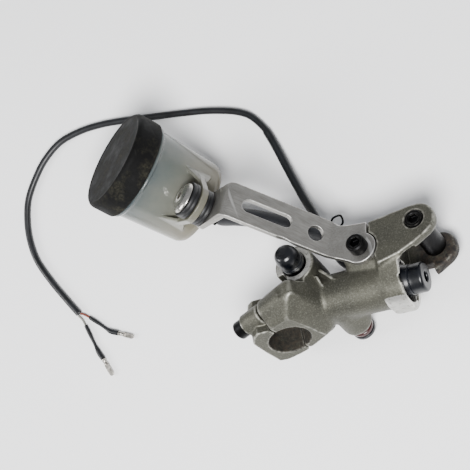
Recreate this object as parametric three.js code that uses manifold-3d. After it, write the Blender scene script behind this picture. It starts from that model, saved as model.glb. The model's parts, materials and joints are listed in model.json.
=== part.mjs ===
// Radial front brake master cylinder with a remote fluid reservoir on a bent strap.
// Lengths are millimetres. The casting is drawn in its own frame: origin in the middle of
// the handlebar hole, +X towards the bore's mouth, +Y inboard along the bar, +Z up.
// The whole assembly is then turned to lie on a bench, where +Z is the bench's normal.
import * as THREE from 'three';
import { mergeVertices } from 'three/addons/utils/BufferGeometryUtils.js';
import { ConvexGeometry } from 'three/addons/geometries/ConvexGeometry.js';
import Module from 'manifold-3d';

const wasm = await Module();
wasm.setup();

// ---------------------------------------------------------------- driving dimensions
const DEG = Math.PI / 180;
const GAP = 0.3; // between pieces that touch

// handlebar clamp
const BAR_R = 11.1;
const CLAMP_W = 21.2;
const CLAMP_TILT = 17.5; // the clamp bolts rise this many degrees towards the mouth
const BOLT_OFFSET = 16.9; // bar centre to each clamp bolt
const BOSS_R = 6;
const BOSS_END = -12.4; // face under the clamp bolts' heads
const M6_R = 3;
const M6_HOLE_R = 3.3;
const M6_HEAD_R = 5;
const M6_HEAD_H = 6;

// master bore
const MOUTH = new THREE.Vector3(69.5, -5.3, -1.7);
const BORE_YAW = -12.3; // the bore points this many degrees outboard of square to the bar
const BARREL_R = 12.5;
const BARREL_LENGTH = 60;
const FLANGE_R = 13.4;
const FLANGE_DEPTH = 11.5;
const MOUTH_R = 11.3;
const MOUTH_DEPTH = 9;
const BORE_R = 9;
const BORE_DEPTH = 55;

// lever fork
const PIVOT = new THREE.Vector3(84.5, 15.4, 0);
const EAR_TOP = 16.7;
const EAR_T = 5.6;
const EAR_BOTTOM = -18.4;
const BUSH_R = 6;
const PIVOT_R = 4;
const PIVOT_HEAD_R = 4.9;

// ports
const PORT = new THREE.Vector3(17.5, 19.1, 18.4);
const PORT_R = 11;
const PORT_HOLE_R = 6.95;
const PORT_HOLE_DEPTH = 14;
const OUTLET = new THREE.Vector3(30.7, -1.6, -22.6);
const OUTLET_R = 8.4;
const OUTLET_HOLE_R = 5.3;
const OUTLET_HOLE_DEPTH = 10;
const INLET = new THREE.Vector3(45, 24.5, 4);

// reservoir strap
const PORT_CAP_WAY = 6.95; // scallop in the arm's edge that lets the port cap lift off
const STRAP_T = 3;
const STRAP_HALF = 10;
const STRAP_SCREW = new THREE.Vector3(53.5, 12.6, 17);
const STRAP_BEND = new THREE.Vector3(38.9, 26, 17);
const BEND_AXIS = new THREE.Vector3(-0.392, -0.92, 0);
const ARM_RISE = 47.3; // slope of the arm above the casting's top
const ARM_SWING = -3.9; // turn of the arm in its own plane
const ARM_LENGTH = 57.9;
const ARM_HOLE_AT = 7.4;
const ARM_HOLE_R = 4.25;
const SLOT_FROM = 24.5;
const SLOT_TO = 45;
const SLOT_R = 3.6;
const FLANGE_BEND = 77.9;
const LUG_AT = 21.8; // second bend to the reservoir's bolt

// reservoir, along its own axis from the strap flange's top face
const CUP_SWING = -30.8; // reservoir turned about its bolt
const CUP_OFFSET = 34.6; // bolt to the cup's axis
const CAP_TOP = 47.9;
const CAP_R = 27.8;
const CAP_H = 14;
const CUP_TOP_R = 25.6;
const CUP_BOTTOM_R = 23.2;
const CUP_BOTTOM = -8.1;
const CUP_RIM = 42;
const CUP_NECK_R = 24.4;
const CUP_WALL = 2;
const GROMMET_R = 9.8;
const GROMMET_T = 4.2;
const LUG_T = 3.6;
const SPIGOT_R = 3.6;
const SPIGOT_LENGTH = 9;

// hose and switch lead
const HOSE_R = 5;
const HOSE_HOLE_R = 4.15;
const SHEATH_R = 2.4; // the lead's thicker outer sheath near the switch
const LEAD_R = 1.95;
const WIRE_R = 0.65;
const SLEEVE_R = 1.5;

// the lead's route over the bench, from the switch's strain relief to the jacket's end
const SHEATH_ROUTE = [
  [31.8, -41.1, 14.7], [26.9, -39.3, 13.4], [23.5, -32.3, 12.2], [21.7, -20.3, 11.9], [19.6, -5.4, 11.4],
  [17.9, 2.6, 10],
  [16, 13.2, 7.8], [14.3, 23.8, 5.6], [12.8, 34.4, 3.8], [11.5, 42.7, 2.7], [10.3, 49.2, 2.5],
];
const LEAD_ROUTE = [
  [10.1, 49.7, 2.5], [7, 56.9, 2.1], [3, 62.5, 2], [-4.9, 68.1, 2], [-17.8, 74.3, 2], [-31.3, 79.3, 2],
  [-45.1, 84.1, 2], [-56.2, 87.8, 2], [-67.4, 91.5, 2], [-79.6, 94.8, 2], [-92.4, 96.7, 2], [-106.3,
  96.1, 2],
  [-118.8, 90.7, 2], [-128.9, 82.6, 2], [-137, 73.5, 2], [-141.9, 62.9, 2], [-144.6, 51.4, 2],
  [-144.7, 38.9, 2], [-141, 24.7, 2], [-135.5, 9.9, 2], [-131.4, -0.1, 2],
];
const BROWN_ROUTE = [[-130.5, -0.6, 2], [-128.5, -2.1, 1.5], [-126.3, -4.6, 1.5]];
const GREY_ROUTE = [[-132.1, -1.1, 2], [-130.8, -4.3, 1.4], [-130.2, -7.7, 1.5]];
const BROWN_SLEEVE = [[-126.1, -4.9, 1.6], [-121.8, -10.5, 1.6], [-117.4, -16.6, 1.6], [-113.1, -19.7,
  1.8]];
const GREY_SLEEVE = [[-130.1, -8.1, 1.6], [-129.2, -16.4, 1.6], [-128.1, -25.4, 1.6], [-126.9, -29.5, 1.8]];
const BROWN_TIP = new THREE.Vector3(-105.1, -25.4, 1.5);
const GREY_TIP = new THREE.Vector3(-125, -40.5, 1.5);

// how the assembly lies on the bench: on its plug, its pivot nut and the reservoir
const REST_ROLL = -27.2; // about the casting's X
const REST_PITCH = -1.1; // about the bench's Y

// ---------------------------------------------------------------- materials
function finish(color, roughness, metalness) {
  return new THREE.MeshStandardMaterial({ color, roughness, metalness });
}
const CAST = finish(0x87867c, 0.55, 0.7);
const STRAP_METAL = finish(0xb4b2ac, 0.4, 0.9);
const BLACK_STEEL = finish(0x17171a, 0.45, 0.8);
const BRIGHT_STEEL = finish(0xb9b9b6, 0.3, 0.95);
const PISTON_METAL = finish(0x9a9a98, 0.35, 0.9);
const RUBBER = finish(0x1a1d24, 0.7, 0);
const BLACK_PLASTIC = finish(0x1c1b1b, 0.6, 0);
const MILKY_PLASTIC = finish(0xb9b9a8, 0.45, 0);
const RED_PLASTIC = finish(0x4a1712, 0.5, 0);
const BROWN_WIRE = finish(0x5a2a1c, 0.6, 0);
const GREY_WIRE = finish(0x6a6a66, 0.6, 0);
const TINNED = finish(0xa8a49c, 0.4, 0.9);

// ---------------------------------------------------------------- solid tools
function weld(geometry) {
  const bare = geometry.clone();
  bare.deleteAttribute('normal');
  bare.deleteAttribute('uv');
  const merged = mergeVertices(bare, 1e-4);
  const corners = [];
  for (let i = 0; i < merged.index.count; i += 3) {
    const [a, b, c] = [0, 1, 2].map((k) => merged.index.getX(i + k));
    if (a !== b && b !== c && c !== a) corners.push(a, b, c);
  }
  merged.setIndex(corners);
  return merged;
}

function solid(geometry) {
  const merged = weld(geometry);
  const vertProperties = new Float32Array(merged.attributes.position.array);
  const triVerts = new Uint32Array(merged.index.array);
  return new wasm.Manifold(new wasm.Mesh({ numProp: 3, vertProperties, triVerts }));
}

function shapeOf(manifold) {
  const mesh = manifold.getMesh();
  const geometry = new THREE.BufferGeometry();
  geometry.setAttribute('position', new THREE.BufferAttribute(new Float32Array(mesh.vertProperties), 3));
  geometry.setIndex(Array.from(mesh.triVerts));
  return geometry;
}

function join(...pieces) {
  return shapeOf(pieces.map(solid).reduce((a, b) => a.add(b)));
}

function cut(base, ...tools) {
  return shapeOf(tools.map(solid).reduce((a, b) => a.subtract(b), solid(base)));
}

function moved(geometry, matrix) {
  return geometry.clone().applyMatrix4(matrix);
}

function frameOf(origin, x, z) {
  const zAxis = z.clone().normalize();
  const yAxis = new THREE.Vector3().crossVectors(zAxis, x).normalize();
  const xAxis = new THREE.Vector3().crossVectors(yAxis, zAxis);
  return new THREE.Matrix4().makeBasis(xAxis, yAxis, zAxis).setPosition(origin);
}

// a frame whose Z is the given direction
function along(origin, direction) {
  const turn = new THREE.Quaternion().setFromUnitVectors(new THREE.Vector3(0, 0, 1),
    direction.clone().normalize());
  return new THREE.Matrix4().makeRotationFromQuaternion(turn).setPosition(origin);
}

function at(x, y, z) {
  return new THREE.Matrix4().makeTranslation(x, y, z);
}

// a closed profile of [radius, height] pairs, listed either way round, turned about Z
function turned(profile, sides = 20) {
  const points = profile.map(([r, h]) => new THREE.Vector2(r, h));
  if (THREE.ShapeUtils.isClockWise(points)) points.reverse();
  return new THREE.LatheGeometry([...points, points[0]], sides).rotateX(Math.PI / 2);
}

function disc(radius, low, high, sides = 20) {
  return turned([[0, low], [radius, low], [radius, high], [0, high]], sides);
}

function ring(outer, inner, low, high, sides = 20) {
  return turned([[inner, low], [outer, low], [outer, high], [inner, high]], sides);
}

// an outline of [x, y] pairs given depth along Z
function slab(outline, low, high) {
  const shape = outline instanceof THREE.Shape ? outline : new THREE.Shape(outline.map(([x,
    y]) => new THREE.Vector2(x, y)));
  const settings = { depth: high - low, bevelEnabled: false, curveSegments: 8 };
  return new THREE.ExtrudeGeometry(shape, settings).translate(0, 0, low);
}

function box(x0, x1, y0, y1, z0, z1) {
  return new THREE.BoxGeometry(x1 - x0, y1 - y0, z1 - z0).translate((x0 + x1) / 2, (y0 + y1) / 2,
    (z0 + z1) / 2);
}

function hull(points) {
  return new ConvexGeometry(points.map((p) => (p.isVector3 ? p : new THREE.Vector3(...p))));
}

function circlePoints(radius, z, sides = 16) {
  return Array.from({ length: sides }, (_, i) => {
    const angle = (i * 2 * Math.PI) / sides;
    return new THREE.Vector3(radius * Math.cos(angle), radius * Math.sin(angle), z);
  });
}

function arc(cx, cy, radius, from, to, steps) {
  return Array.from({ length: steps + 1 }, (_, i) => {
    const angle = (from + ((to - from) * i) / steps) * DEG;
    return [cx + radius * Math.cos(angle), cy + radius * Math.sin(angle)];
  });
}

// a round bar, or a hose when it has a hole, along a smooth route
function tube(route, radius, steps, sides = 8, hole = 0) {
  const section = new THREE.Shape(circlePoints(radius, 0, sides).map((p) => new THREE.Vector2(p.x, p.y)));
  if (hole > 0) {
    section.holes.push(new THREE.Path(circlePoints(hole, 0,
      sides).reverse().map((p) => new THREE.Vector2(p.x, p.y))));
  }
  const extrudePath = new THREE.CatmullRomCurve3(route.map((p) => (p.isVector3 ? p : new THREE.Vector3(...p))));
  return new THREE.ExtrudeGeometry(section, { steps, extrudePath, bevelEnabled: false, curveSegments: 1 });
}

function add(parent, name, geometry, material) {
  const mesh = new THREE.Mesh(weld(geometry), material);
  mesh.name = name;
  parent.add(mesh);
  return mesh;
}

function groupAt(parent, matrix) {
  const group = new THREE.Group();
  group.applyMatrix4(matrix);
  parent.add(group);
  return group;
}

// ---------------------------------------------------------------- frames in the casting
const UP = new THREE.Vector3(0, 0, 1);
const boreDirection = new THREE.Vector3(Math.cos(BORE_YAW * DEG), Math.sin(BORE_YAW * DEG), 0);
// bore frame: Z along the bore out of the mouth, X down towards the bench side
const boreFrame = frameOf(MOUTH, new THREE.Vector3(0, 0, -1), boreDirection);
// upright bore frame: X out of the mouth, Z up
const barrelFrame = frameOf(MOUTH, boreDirection, UP);
// clamp frame: X along the clamp bolts towards the mouth, Y along the bar
const boltDirection = new THREE.Vector3(Math.cos(CLAMP_TILT * DEG), 0, Math.sin(CLAMP_TILT * DEG));
const clampNormal = new THREE.Vector3(-Math.sin(CLAMP_TILT * DEG), 0, Math.cos(CLAMP_TILT * DEG));
const clampFrame = frameOf(new THREE.Vector3(), boltDirection, clampNormal);

const armSide = BEND_AXIS.clone().normalize();
const level = new THREE.Vector3().crossVectors(armSide, UP);
const armRise = level.clone().multiplyScalar(Math.cos(ARM_RISE * DEG)).addScaledVector(UP,
  Math.sin(ARM_RISE * DEG));
const armNormal = UP.clone().multiplyScalar(Math.cos(ARM_RISE * DEG)).addScaledVector(level,
  -Math.sin(ARM_RISE * DEG));
const armDirection = armRise.clone().applyAxisAngle(armNormal, ARM_SWING * DEG);
const armFrame = frameOf(STRAP_BEND, armDirection, armNormal);
const armEnd = STRAP_BEND.clone().addScaledVector(armDirection, ARM_LENGTH);
const flangeDirection = armDirection.clone().multiplyScalar(Math.cos(FLANGE_BEND * DEG))
  .addScaledVector(armNormal, -Math.sin(FLANGE_BEND * DEG));
const flangeNormal = armNormal.clone().multiplyScalar(Math.cos(FLANGE_BEND * DEG))
  .addScaledVector(armDirection, Math.sin(FLANGE_BEND * DEG));
const flangeFrame = frameOf(armEnd, flangeDirection, flangeNormal);
const lugPoint = armEnd.clone().addScaledVector(flangeDirection, LUG_AT);
const cupDirection = flangeDirection.clone().applyAxisAngle(flangeNormal, CUP_SWING * DEG);
const reservoirFrame = frameOf(lugPoint, cupDirection, flangeNormal);

// ---------------------------------------------------------------- casting
// a cylinder between two points of the casting's frame
function post(from, to, radius, sides = 20) {
  const axis = to.clone().sub(from);
  return moved(disc(radius, 0, axis.length(), sides), along(from, axis));
}

function inFrame(matrix, points) {
  return points.map((p) => (p.isVector3 ? p.clone() : new THREE.Vector3(...p)).applyMatrix4(matrix));
}

function earOutline() {
  return [
    [62, 25.7], [74, 25.2], [82, 24.7],
    ...arc(85.6, 14.3, 9.9, 84, -64, 9),
    [82, 2.2], [72.5, -0.2], [62, -1],
  ];
}

function forkBlock() {
  const block = slab([[46, 4], [46, 27], [62, 25.7], [70, 25.5], [68.5, -2], [66, -6]], EAR_BOTTOM,
    EAR_TOP - 2.8);
  const top = slab(earOutline(), EAR_TOP - EAR_T, EAR_TOP);
  const bottom = slab(earOutline(), EAR_BOTTOM, EAR_BOTTOM + EAR_T);
  return join(block, top, bottom);
}

function mouthFlange() {
  const foot = slab([
    [-4, -14.8], [-9, -12.8], [-13.6, -8.4], [-13.6, 0], [0, 6], [10, -6], [10, -15.2],
  ], 0, FLANGE_DEPTH);
  // the foot is drawn in the plane across the bore, looking back into the mouth
  const across = frameOf(new THREE.Vector3(-FLANGE_DEPTH, 0, 0), new THREE.Vector3(0, 1, 0),
    new THREE.Vector3(1, 0, 0));
  const footInBore = moved(moved(foot, across), barrelFrame);
  return join(moved(disc(FLANGE_R, -FLANGE_DEPTH, 0, 32), boreFrame), footInBore);
}

function clampHalf() {
  const top = moved(box(GAP, 24, -3.8, 5.4, 8, 21.8), clampFrame);
  const upperBoss = moved(disc(BOSS_R, GAP, 16, 20), boltAxis(1));
  const lowerBoss = moved(disc(BOSS_R, GAP, 15, 20), boltAxis(-1));
  const jaw = inFrame(clampFrame, [-1, 1].flatMap((side) => [
    [GAP, (side * CLAMP_W) / 2, 15.2],
    [GAP, (side * CLAMP_W) / 2, -15.2],
    [12, (side * CLAMP_W) / 2, 14.5],
    [15, (side * CLAMP_W) / 2, -14],
  ]));
  const rear = inFrame(boreFrame, circlePoints(BARREL_R - 0.6, -BARREL_LENGTH + 4));
  const middle = inFrame(boreFrame, circlePoints(BARREL_R - 0.6, -BARREL_LENGTH + 16));
  const neck = inFrame(clampFrame, [[GAP, -3.8, 20], [GAP, 5.4, 20], [22, -3.8, 22.4], [22, 5.4, 22.4]]);
  return join(hull([...jaw, ...rear, ...middle, ...neck]), top, upperBoss, lowerBoss);
}

// frame of a clamp bolt: Z along the bolt towards the mouth
function boltAxis(side) {
  const origin = clampNormal.clone().multiplyScalar(side * BOLT_OFFSET);
  return frameOf(origin, new THREE.Vector3(0, 1, 0), boltDirection);
}

function portBoss() {
  const low = new THREE.Vector3(PORT.x, PORT.y, -6);
  const root = inFrame(boreFrame, circlePoints(BARREL_R - 2, -BARREL_LENGTH + 3));
  const skirt = circlePoints(PORT_R, 0).map((p) => p.add(new THREE.Vector3(PORT.x, PORT.y, 5)));
  const foot = circlePoints(PORT_R - 2, 0).map((p) => p.add(low));
  return join(post(low, PORT, PORT_R, 32), hull([...root, ...skirt, ...foot]));
}

function gussets() {
  const far = hull([[27.5, 13, 14], [29, 13.6, 14], [38, 2, 9.5], [36.6, 1.4, 9.5], [27.5, 12, 4], [30,
    12, 4], [36, 2, 4]]);
  const near = hull([[25.5, 10.5, 14], [27, 9.9, 14], [29, -1, 9], [27.4, -1, 9], [25, 9, 4], [27, 9, 4],
    [28, 0, 4]]);
  return join(far, near);
}

const inletDirection = new THREE.Vector3(-0.72, 0.62, 0.31).normalize();

function strapSeat() {
  return slab([[40, 13], [44, 9.2], [62.6, 4.5], [63, 25], [50, 26], [43, 19]], -4,
    STRAP_SCREW.z - STRAP_T - GAP);
}

function masterBody() {
  const inletRoot = INLET.clone().addScaledVector(inletDirection, -13);
  const outside = [
    moved(disc(BARREL_R, -BARREL_LENGTH, -2, 32), boreFrame),
    mouthFlange(), forkBlock(), clampHalf(), portBoss(), gussets(), strapSeat(),
    post(OUTLET.clone().setZ(-4), OUTLET, OUTLET_R, 22),
    post(inletRoot, INLET, 7.5, 20),
  ];
  const strapRelief = new THREE.Vector3(STRAP_SCREW.x, STRAP_SCREW.y, STRAP_SCREW.z - STRAP_T - GAP);
  const holes = [
    post(new THREE.Vector3(0, -20, 0), new THREE.Vector3(0, 20, 0), BAR_R, 40),
    moved(box(-40, GAP, -20, 20, -40, 40), clampFrame),
    moved(disc(M6_HOLE_R, -2, 13.5, 12), boltAxis(1)),
    moved(disc(M6_HOLE_R, -2, 13.5, 12), boltAxis(-1)),
    moved(disc(BORE_R, -BORE_DEPTH, 1, 22), boreFrame),
    moved(disc(MOUTH_R, -MOUTH_DEPTH, 1, 32), boreFrame),
    moved(disc(BORE_R + 0.9, -MOUTH_DEPTH - 2.4, -MOUTH_DEPTH - 1, 22), boreFrame),
    post(new THREE.Vector3(PORT.x, PORT.y, PORT.z - PORT_HOLE_DEPTH), PORT.clone().setZ(PORT.z + 2),
      PORT_HOLE_R, 22),
    post(OUTLET.clone().setZ(OUTLET.z - 2), OUTLET.clone().setZ(OUTLET.z + OUTLET_HOLE_DEPTH),
      OUTLET_HOLE_R, 20),
    post(OUTLET.clone().setZ(OUTLET.z), new THREE.Vector3(OUTLET.x, OUTLET.y + 4, -6), 1.6, 10),
    post(new THREE.Vector3(PORT.x, PORT.y, PORT.z - 10), new THREE.Vector3(20.5, 6, -2), 1.6, 10),
    post(INLET.clone().addScaledVector(inletDirection, -6.6),
      INLET.clone().addScaledVector(inletDirection, 1), 4.9, 16),
    post(INLET, new THREE.Vector3(44, 2, -1.7), 1.3, 10),
    // room for the hose, its clip and a hand's squeeze of it
    post(INLET, INLET.clone().addScaledVector(inletDirection, 18), 7.6, 20),
    post(PIVOT.clone().setZ(-40), PIVOT.clone().setZ(40), PIVOT_R + 0.3, 20),
    post(PIVOT.clone().setZ(EAR_TOP - 2.6), PIVOT.clone().setZ(EAR_TOP + 5), PIVOT_HEAD_R + 0.3, 18),
    post(STRAP_SCREW.clone().setZ(2), STRAP_SCREW.clone().setZ(30), M6_HOLE_R, 12),
    // the strap sits in a step in front of the upper ear
    slab([...arc(STRAP_SCREW.x, STRAP_SCREW.y, 9.4, -78, 62, 9), [60.6, 21], [61.4, 30], [40, 40], [30,
      0], [52, 0]],
      strapRelief.z, 30),
    // lever space
    slab([[70.6, 40], [68.2, 3.5], [67.5, -12], [110, -12], [110, 40]], EAR_BOTTOM + EAR_T,
      EAR_TOP - EAR_T),
    ...switchPocket(),
  ];
  return cut(join(...outside), ...holes);
}

// ---------------------------------------------------------------- brake light switch
const SWITCH = { x0: 49, x1: 66.4, y0: 17.6, y1: 25.2, z0: -10.6, z1: -2.6 };
const PLUNGER = new THREE.Vector3(SWITCH.x1, 21.4, -6.6);
const PLUNGER_R = 1.9;

function switchPocket() {
  const { x0, x1, z0, z1, y0 } = SWITCH;
  return [
    box(x0 - 12, x1 + GAP, y0 - GAP, 40, z0 - GAP, z1 + GAP),
    post(PLUNGER.clone().setX(x1 - 1), PLUNGER.clone().setX(x1 + 9), PLUNGER_R + 0.5, 12),
    ...switchScrewSpots().map((p) => post(p.clone().setY(y0 - 6), p.clone().setY(y0 + 1), 1.5, 8)),
  ];
}

function switchScrewSpots() {
  const z = (SWITCH.z0 + SWITCH.z1) / 2;
  return [new THREE.Vector3(SWITCH.x0 + 3, 0, z), new THREE.Vector3(SWITCH.x1 - 9.4, 0, z)];
}

function addSwitch(parent) {
  const { x0, x1, y0, y1, z0, z1 } = SWITCH;
  const cavity = post(new THREE.Vector3(x1 - 7.4, PLUNGER.y, PLUNGER.z), PLUNGER.clone().setX(x1 + 1),
    PLUNGER_R + 0.35, 12);
  const entry = post(new THREE.Vector3(x0 - 1, 21.4, -6.6), new THREE.Vector3(x0 + 1.5, 21.4, -6.6), 1.2,
    8);
  const screwHoles = switchScrewSpots().map((p) => post(p.clone().setY(y0 - 1), p.clone().setY(y1 + 1),
    1.6, 8));
  const housing = cut(box(x0, x1, y0, y1, z0, z1), cavity, entry, ...screwHoles);
  add(parent, 'switch_housing', housing, BLACK_PLASTIC);
  const relief = turned([[0, 0], [3.5, 0], [3.5, 1.6], [3, 2], [2.6, 5], [0, 5]], 14);
  add(parent, 'lead_boot', moved(relief, along(new THREE.Vector3(x0 - GAP, 21.4, -6.6),
    new THREE.Vector3(-1, 0, 0))), RUBBER);

  const along_x = along(PLUNGER, new THREE.Vector3(1, 0, 0));
  const plunger = turned([[0, -3.2], [PLUNGER_R, -3.2], [PLUNGER_R, 4.6], [1.2, 5.6], [0, 5.6]], 12);
  add(parent, 'switch_plunger', moved(plunger, along_x), MILKY_PLASTIC);
  const spring = coil(1.35, 0.25, 3.4, 3, 7, 4).translate(0, 0, -7.1);
  add(parent, 'switch_spring', moved(spring, along_x), BRIGHT_STEEL);

  const screws = switchScrewSpots();
  ['switch_screw_rear', 'switch_screw_front'].forEach((name, i) => {
    const profile = [[0, -5.5], [1.2, -5.5], [1.2, y1 - y0 + GAP], [2.3, y1 - y0 + GAP], [2.3,
      y1 - y0 + 1.9], [0, y1 - y0 + 1.9]];
    const screw = turned(profile, 10);
    add(parent, name, moved(screw, along(new THREE.Vector3(screws[i].x, y0, screws[i].z),
      new THREE.Vector3(0, 1, 0))), BLACK_STEEL);
  });
}

// an open coil spring about Z
function coil(radius, wire, height, turns, perTurn, sides) {
  const route = Array.from({ length: turns * perTurn + 1 }, (_, i) => {
    const angle = (i * 2 * Math.PI) / perTurn;
    const z = wire + ((height - 2 * wire) * i) / (turns * perTurn);
    return [radius * Math.cos(angle), radius * Math.sin(angle), z];
  });
  return tube(route, wire, turns * perTurn, sides);
}

// ---------------------------------------------------------------- clamp
function addClamp(parent) {
  const group = groupAt(parent, clampFrame);
  const half = CLAMP_W / 2;
  const face = [
    [-GAP, 15.4], [-5.5, 18.6], [-9, 17.6], [-13.2, 14], [-15.4, 2], [-16.8, -9.4], [-13.6, -12.4],
    [-5.6, -14.6], [-GAP, -15.2],
  ];
  // the outline lies in the clamp frame's XZ plane and is given the clamp's width along Y
  const shell = slab(face.map(([a, s]) => [a, -s]), -half, half).rotateX(-Math.PI / 2);
  const bosses = [1, -1].map((side) => post(
    new THREE.Vector3(BOSS_END, 0, side * BOLT_OFFSET), new THREE.Vector3(-GAP, 0, side * BOLT_OFFSET),
      BOSS_R, 18));
  const bores = [1, -1].map((side) => post(
    new THREE.Vector3(-40, 0, side * BOLT_OFFSET), new THREE.Vector3(10, 0, side * BOLT_OFFSET),
      M6_HOLE_R, 12));
  const spotFaces = [1, -1].map((side) => post(
    new THREE.Vector3(-40, 0, side * BOLT_OFFSET), new THREE.Vector3(BOSS_END, 0, side * BOLT_OFFSET),
      BOSS_R + 0.4, 18));
  const bar = post(new THREE.Vector3(0, -20, 0), new THREE.Vector3(0, 20, 0), BAR_R, 40);
  add(group, 'clamp_cap', cut(join(shell, ...bosses), bar, ...bores, ...spotFaces), CAST);
  ['clamp_bolt_upper', 'clamp_bolt_lower'].forEach((name, i) => {
    const bolt = capScrew(BOSS_END - GAP, 12.6);
    const origin = new THREE.Vector3(0, 0, (i === 0 ? 1 : -1) * BOLT_OFFSET);
    add(group, name, moved(bolt, frameOf(origin, new THREE.Vector3(0, 1, 0), new THREE.Vector3(1, 0,
      0))), BLACK_STEEL);
  });
}

// an M6 socket cap screw along Z: its head lies below the seat, its tip above
function capScrew(seat, tip) {
  const head = turned([
    [0, seat - M6_HEAD_H], [M6_HEAD_R - 0.6, seat - M6_HEAD_H], [M6_HEAD_R, seat - M6_HEAD_H + 0.7],
    [M6_HEAD_R, seat],
    [M6_R, seat], [M6_R, tip], [0, tip],
  ], 20);
  const socket = turned([[0, seat - M6_HEAD_H - 1], [2.7, seat - M6_HEAD_H - 1], [2.7, seat - 2.8], [0,
    seat - 2.8]], 6);
  return cut(head, socket);
}

// ---------------------------------------------------------------- bore
function addBore(parent) {
  const group = groupAt(parent, boreFrame);
  const seat = -MOUTH_DEPTH - 2.4; // outer face of the stop washer
  const piston = turned([
    [0, -34], [4.4, -34], [4.4, -30.2], [8.7, -30.2], [8.7, -28.4], [5, -28.4], [5, -20.2], [8.7, -20.2],
    [8.7, -18.4],
    [6, -18.4], [6, -15.6], [8.7, -15.6], [8.7, seat - 1.5], [5, seat - 1.5], [5, -9.4], [3.4, -9.4],
    [2.4, -12.6], [0, -13.2],
  ], 18);
  add(group, 'piston', piston, PISTON_METAL);
  const primary = turned([[4.7, -33.4], [8.2, -34.4], [8.85, -34.4], [8.6, -30.5], [4.7, -30.5]], 18);
  add(group, 'primary_cup', primary, RUBBER);
  const secondary = turned([[6.3, -18.1], [8.2, -18.1], [8.85, -18.1], [8.5, -15.9], [6.3, -15.9]], 18);
  add(group, 'secondary_cup', secondary, RUBBER);
  const spring = coil(6, 0.7, 19.8, 5, 9, 5).translate(0, 0, -BORE_DEPTH + GAP);
  add(group, 'return_spring', spring, BRIGHT_STEEL);
  add(group, 'stop_washer', ring(8.7, 5.4, seat - 1.2, seat - 0.2, 18), BRIGHT_STEEL);
  const clip = cut(ring(9.7, 7.2, seat + 0.15, seat + 1.1, 18), box(5, 12, -2.2, 2.2, seat - 1, seat + 2));
  add(group, 'bore_circlip', clip, BLACK_STEEL);
  const boot = turned([
    [10.9, -8.6], [10.9, -5.2], [9.4, -4.6], [8.6, -1.6], [7.8, 0.8], [7.8, 7.6], [7, 8.8], [2.9, 8.8],
    [2.9, 7], [6, 6.6], [6, 0.4], [6.6, -2.2], [7.2, -5.6], [8.9, -6.6], [8.9, -8.6],
  ], 22);
  add(group, 'dust_boot', boot, RUBBER);
}

// ---------------------------------------------------------------- lever pivot
function addPivot(parent) {
  const group = groupAt(parent, at(PIVOT.x, PIVOT.y, 0));
  const low = EAR_BOTTOM + EAR_T + 0.4;
  const high = EAR_TOP - EAR_T - 0.4;
  add(group, 'pivot_bush', ring(BUSH_R, PIVOT_R + 0.08, low, high, 18), BLACK_STEEL);
  const screw = turned([
    [0, EAR_BOTTOM - 5.4], [PIVOT_R, EAR_BOTTOM - 5.4], [PIVOT_R, EAR_TOP - 2.3], [PIVOT_HEAD_R,
    EAR_TOP - 2.3],
    [PIVOT_HEAD_R, EAR_TOP + 0.3], [PIVOT_HEAD_R - 0.5, EAR_TOP + 0.7], [0, EAR_TOP + 0.7],
  ], 18);
  const socket = disc(2.6, EAR_TOP - 1.8, EAR_TOP + 3, 6);
  add(group, 'pivot_screw', cut(screw, socket), BLACK_STEEL);
  add(group, 'pivot_nut', cut(disc(6.6, EAR_BOTTOM - 5, EAR_BOTTOM - GAP, 6), disc(PIVOT_R + GAP, -40, 0,
    20)), BLACK_STEEL);
}

// ---------------------------------------------------------------- ports
function addPorts(parent) {
  const port = groupAt(parent, at(PORT.x, PORT.y, PORT.z));
  const fitting = turned([
    [0, -12.5], [4.5, -12.5], [4.5, -9.5], [3.6, -9.2], [3.6, -7.6], [6.5, -7.2], [6.5, -2.7], [5.2,
    -2.5], [5.2, 0.2], [3, 0.5],
    [3, 8.6], [2.2, 9.6], [1.2, 9.6], [1.2, -4], [0, -4],
  ], 20);
  add(port, 'port_fitting', fitting, BLACK_STEEL);
  const clip = cut(ring(6.75, 5.5, -2.1, -1.1, 18), box(4, 8, -1.8, 1.8, -4, 2));
  add(port, 'port_circlip', clip, BLACK_STEEL);
  add(port, 'port_o_ring', ring(6.8, 4.8, -11.9, -9.9, 20), RUBBER);
  const cap = turned([
    [5.9, 0.9], [6.1, 2.6], [5.7, 3.4], [6.5, 4.4], [6.5, 9.8], [5.8, 11.8], [4.2, 12.9], [0, 13.3],
    [0, 10.2], [3.4, 9.9], [3.4, 1.9], [5.4, 0.9],
  ], 18);
  add(port, 'port_dust_cap', cap, RUBBER);

  const outlet = groupAt(parent, at(OUTLET.x, OUTLET.y, OUTLET.z));
  const plug = turned([
    [0, 8], [4.8, 8], [4.8, -0.4], [6, -0.8], [6, -3.6], [5.3, -4], [5.3, -7.6], [3, -8.4], [0, -8.4],
  ], 18);
  add(outlet, 'outlet_plug', plug, RED_PLASTIC);
  add(outlet, 'outlet_plug_cap', ring(6.5, 5.6, -8.4, -4.2, 18), RUBBER);

  const inlet = groupAt(parent, along(INLET, inletDirection));
  const nipple = turned([
    [0.9, -6], [4.6, -6], [4.6, 0.3], [6.2, 0.5], [6.2, 2.2], [SPIGOT_R, 2.6], [SPIGOT_R, 15], [3, 15.8],
    [0.9, 15.8],
  ], 20);
  add(inlet, 'feed_nipple', nipple, BLACK_PLASTIC);
}

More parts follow.
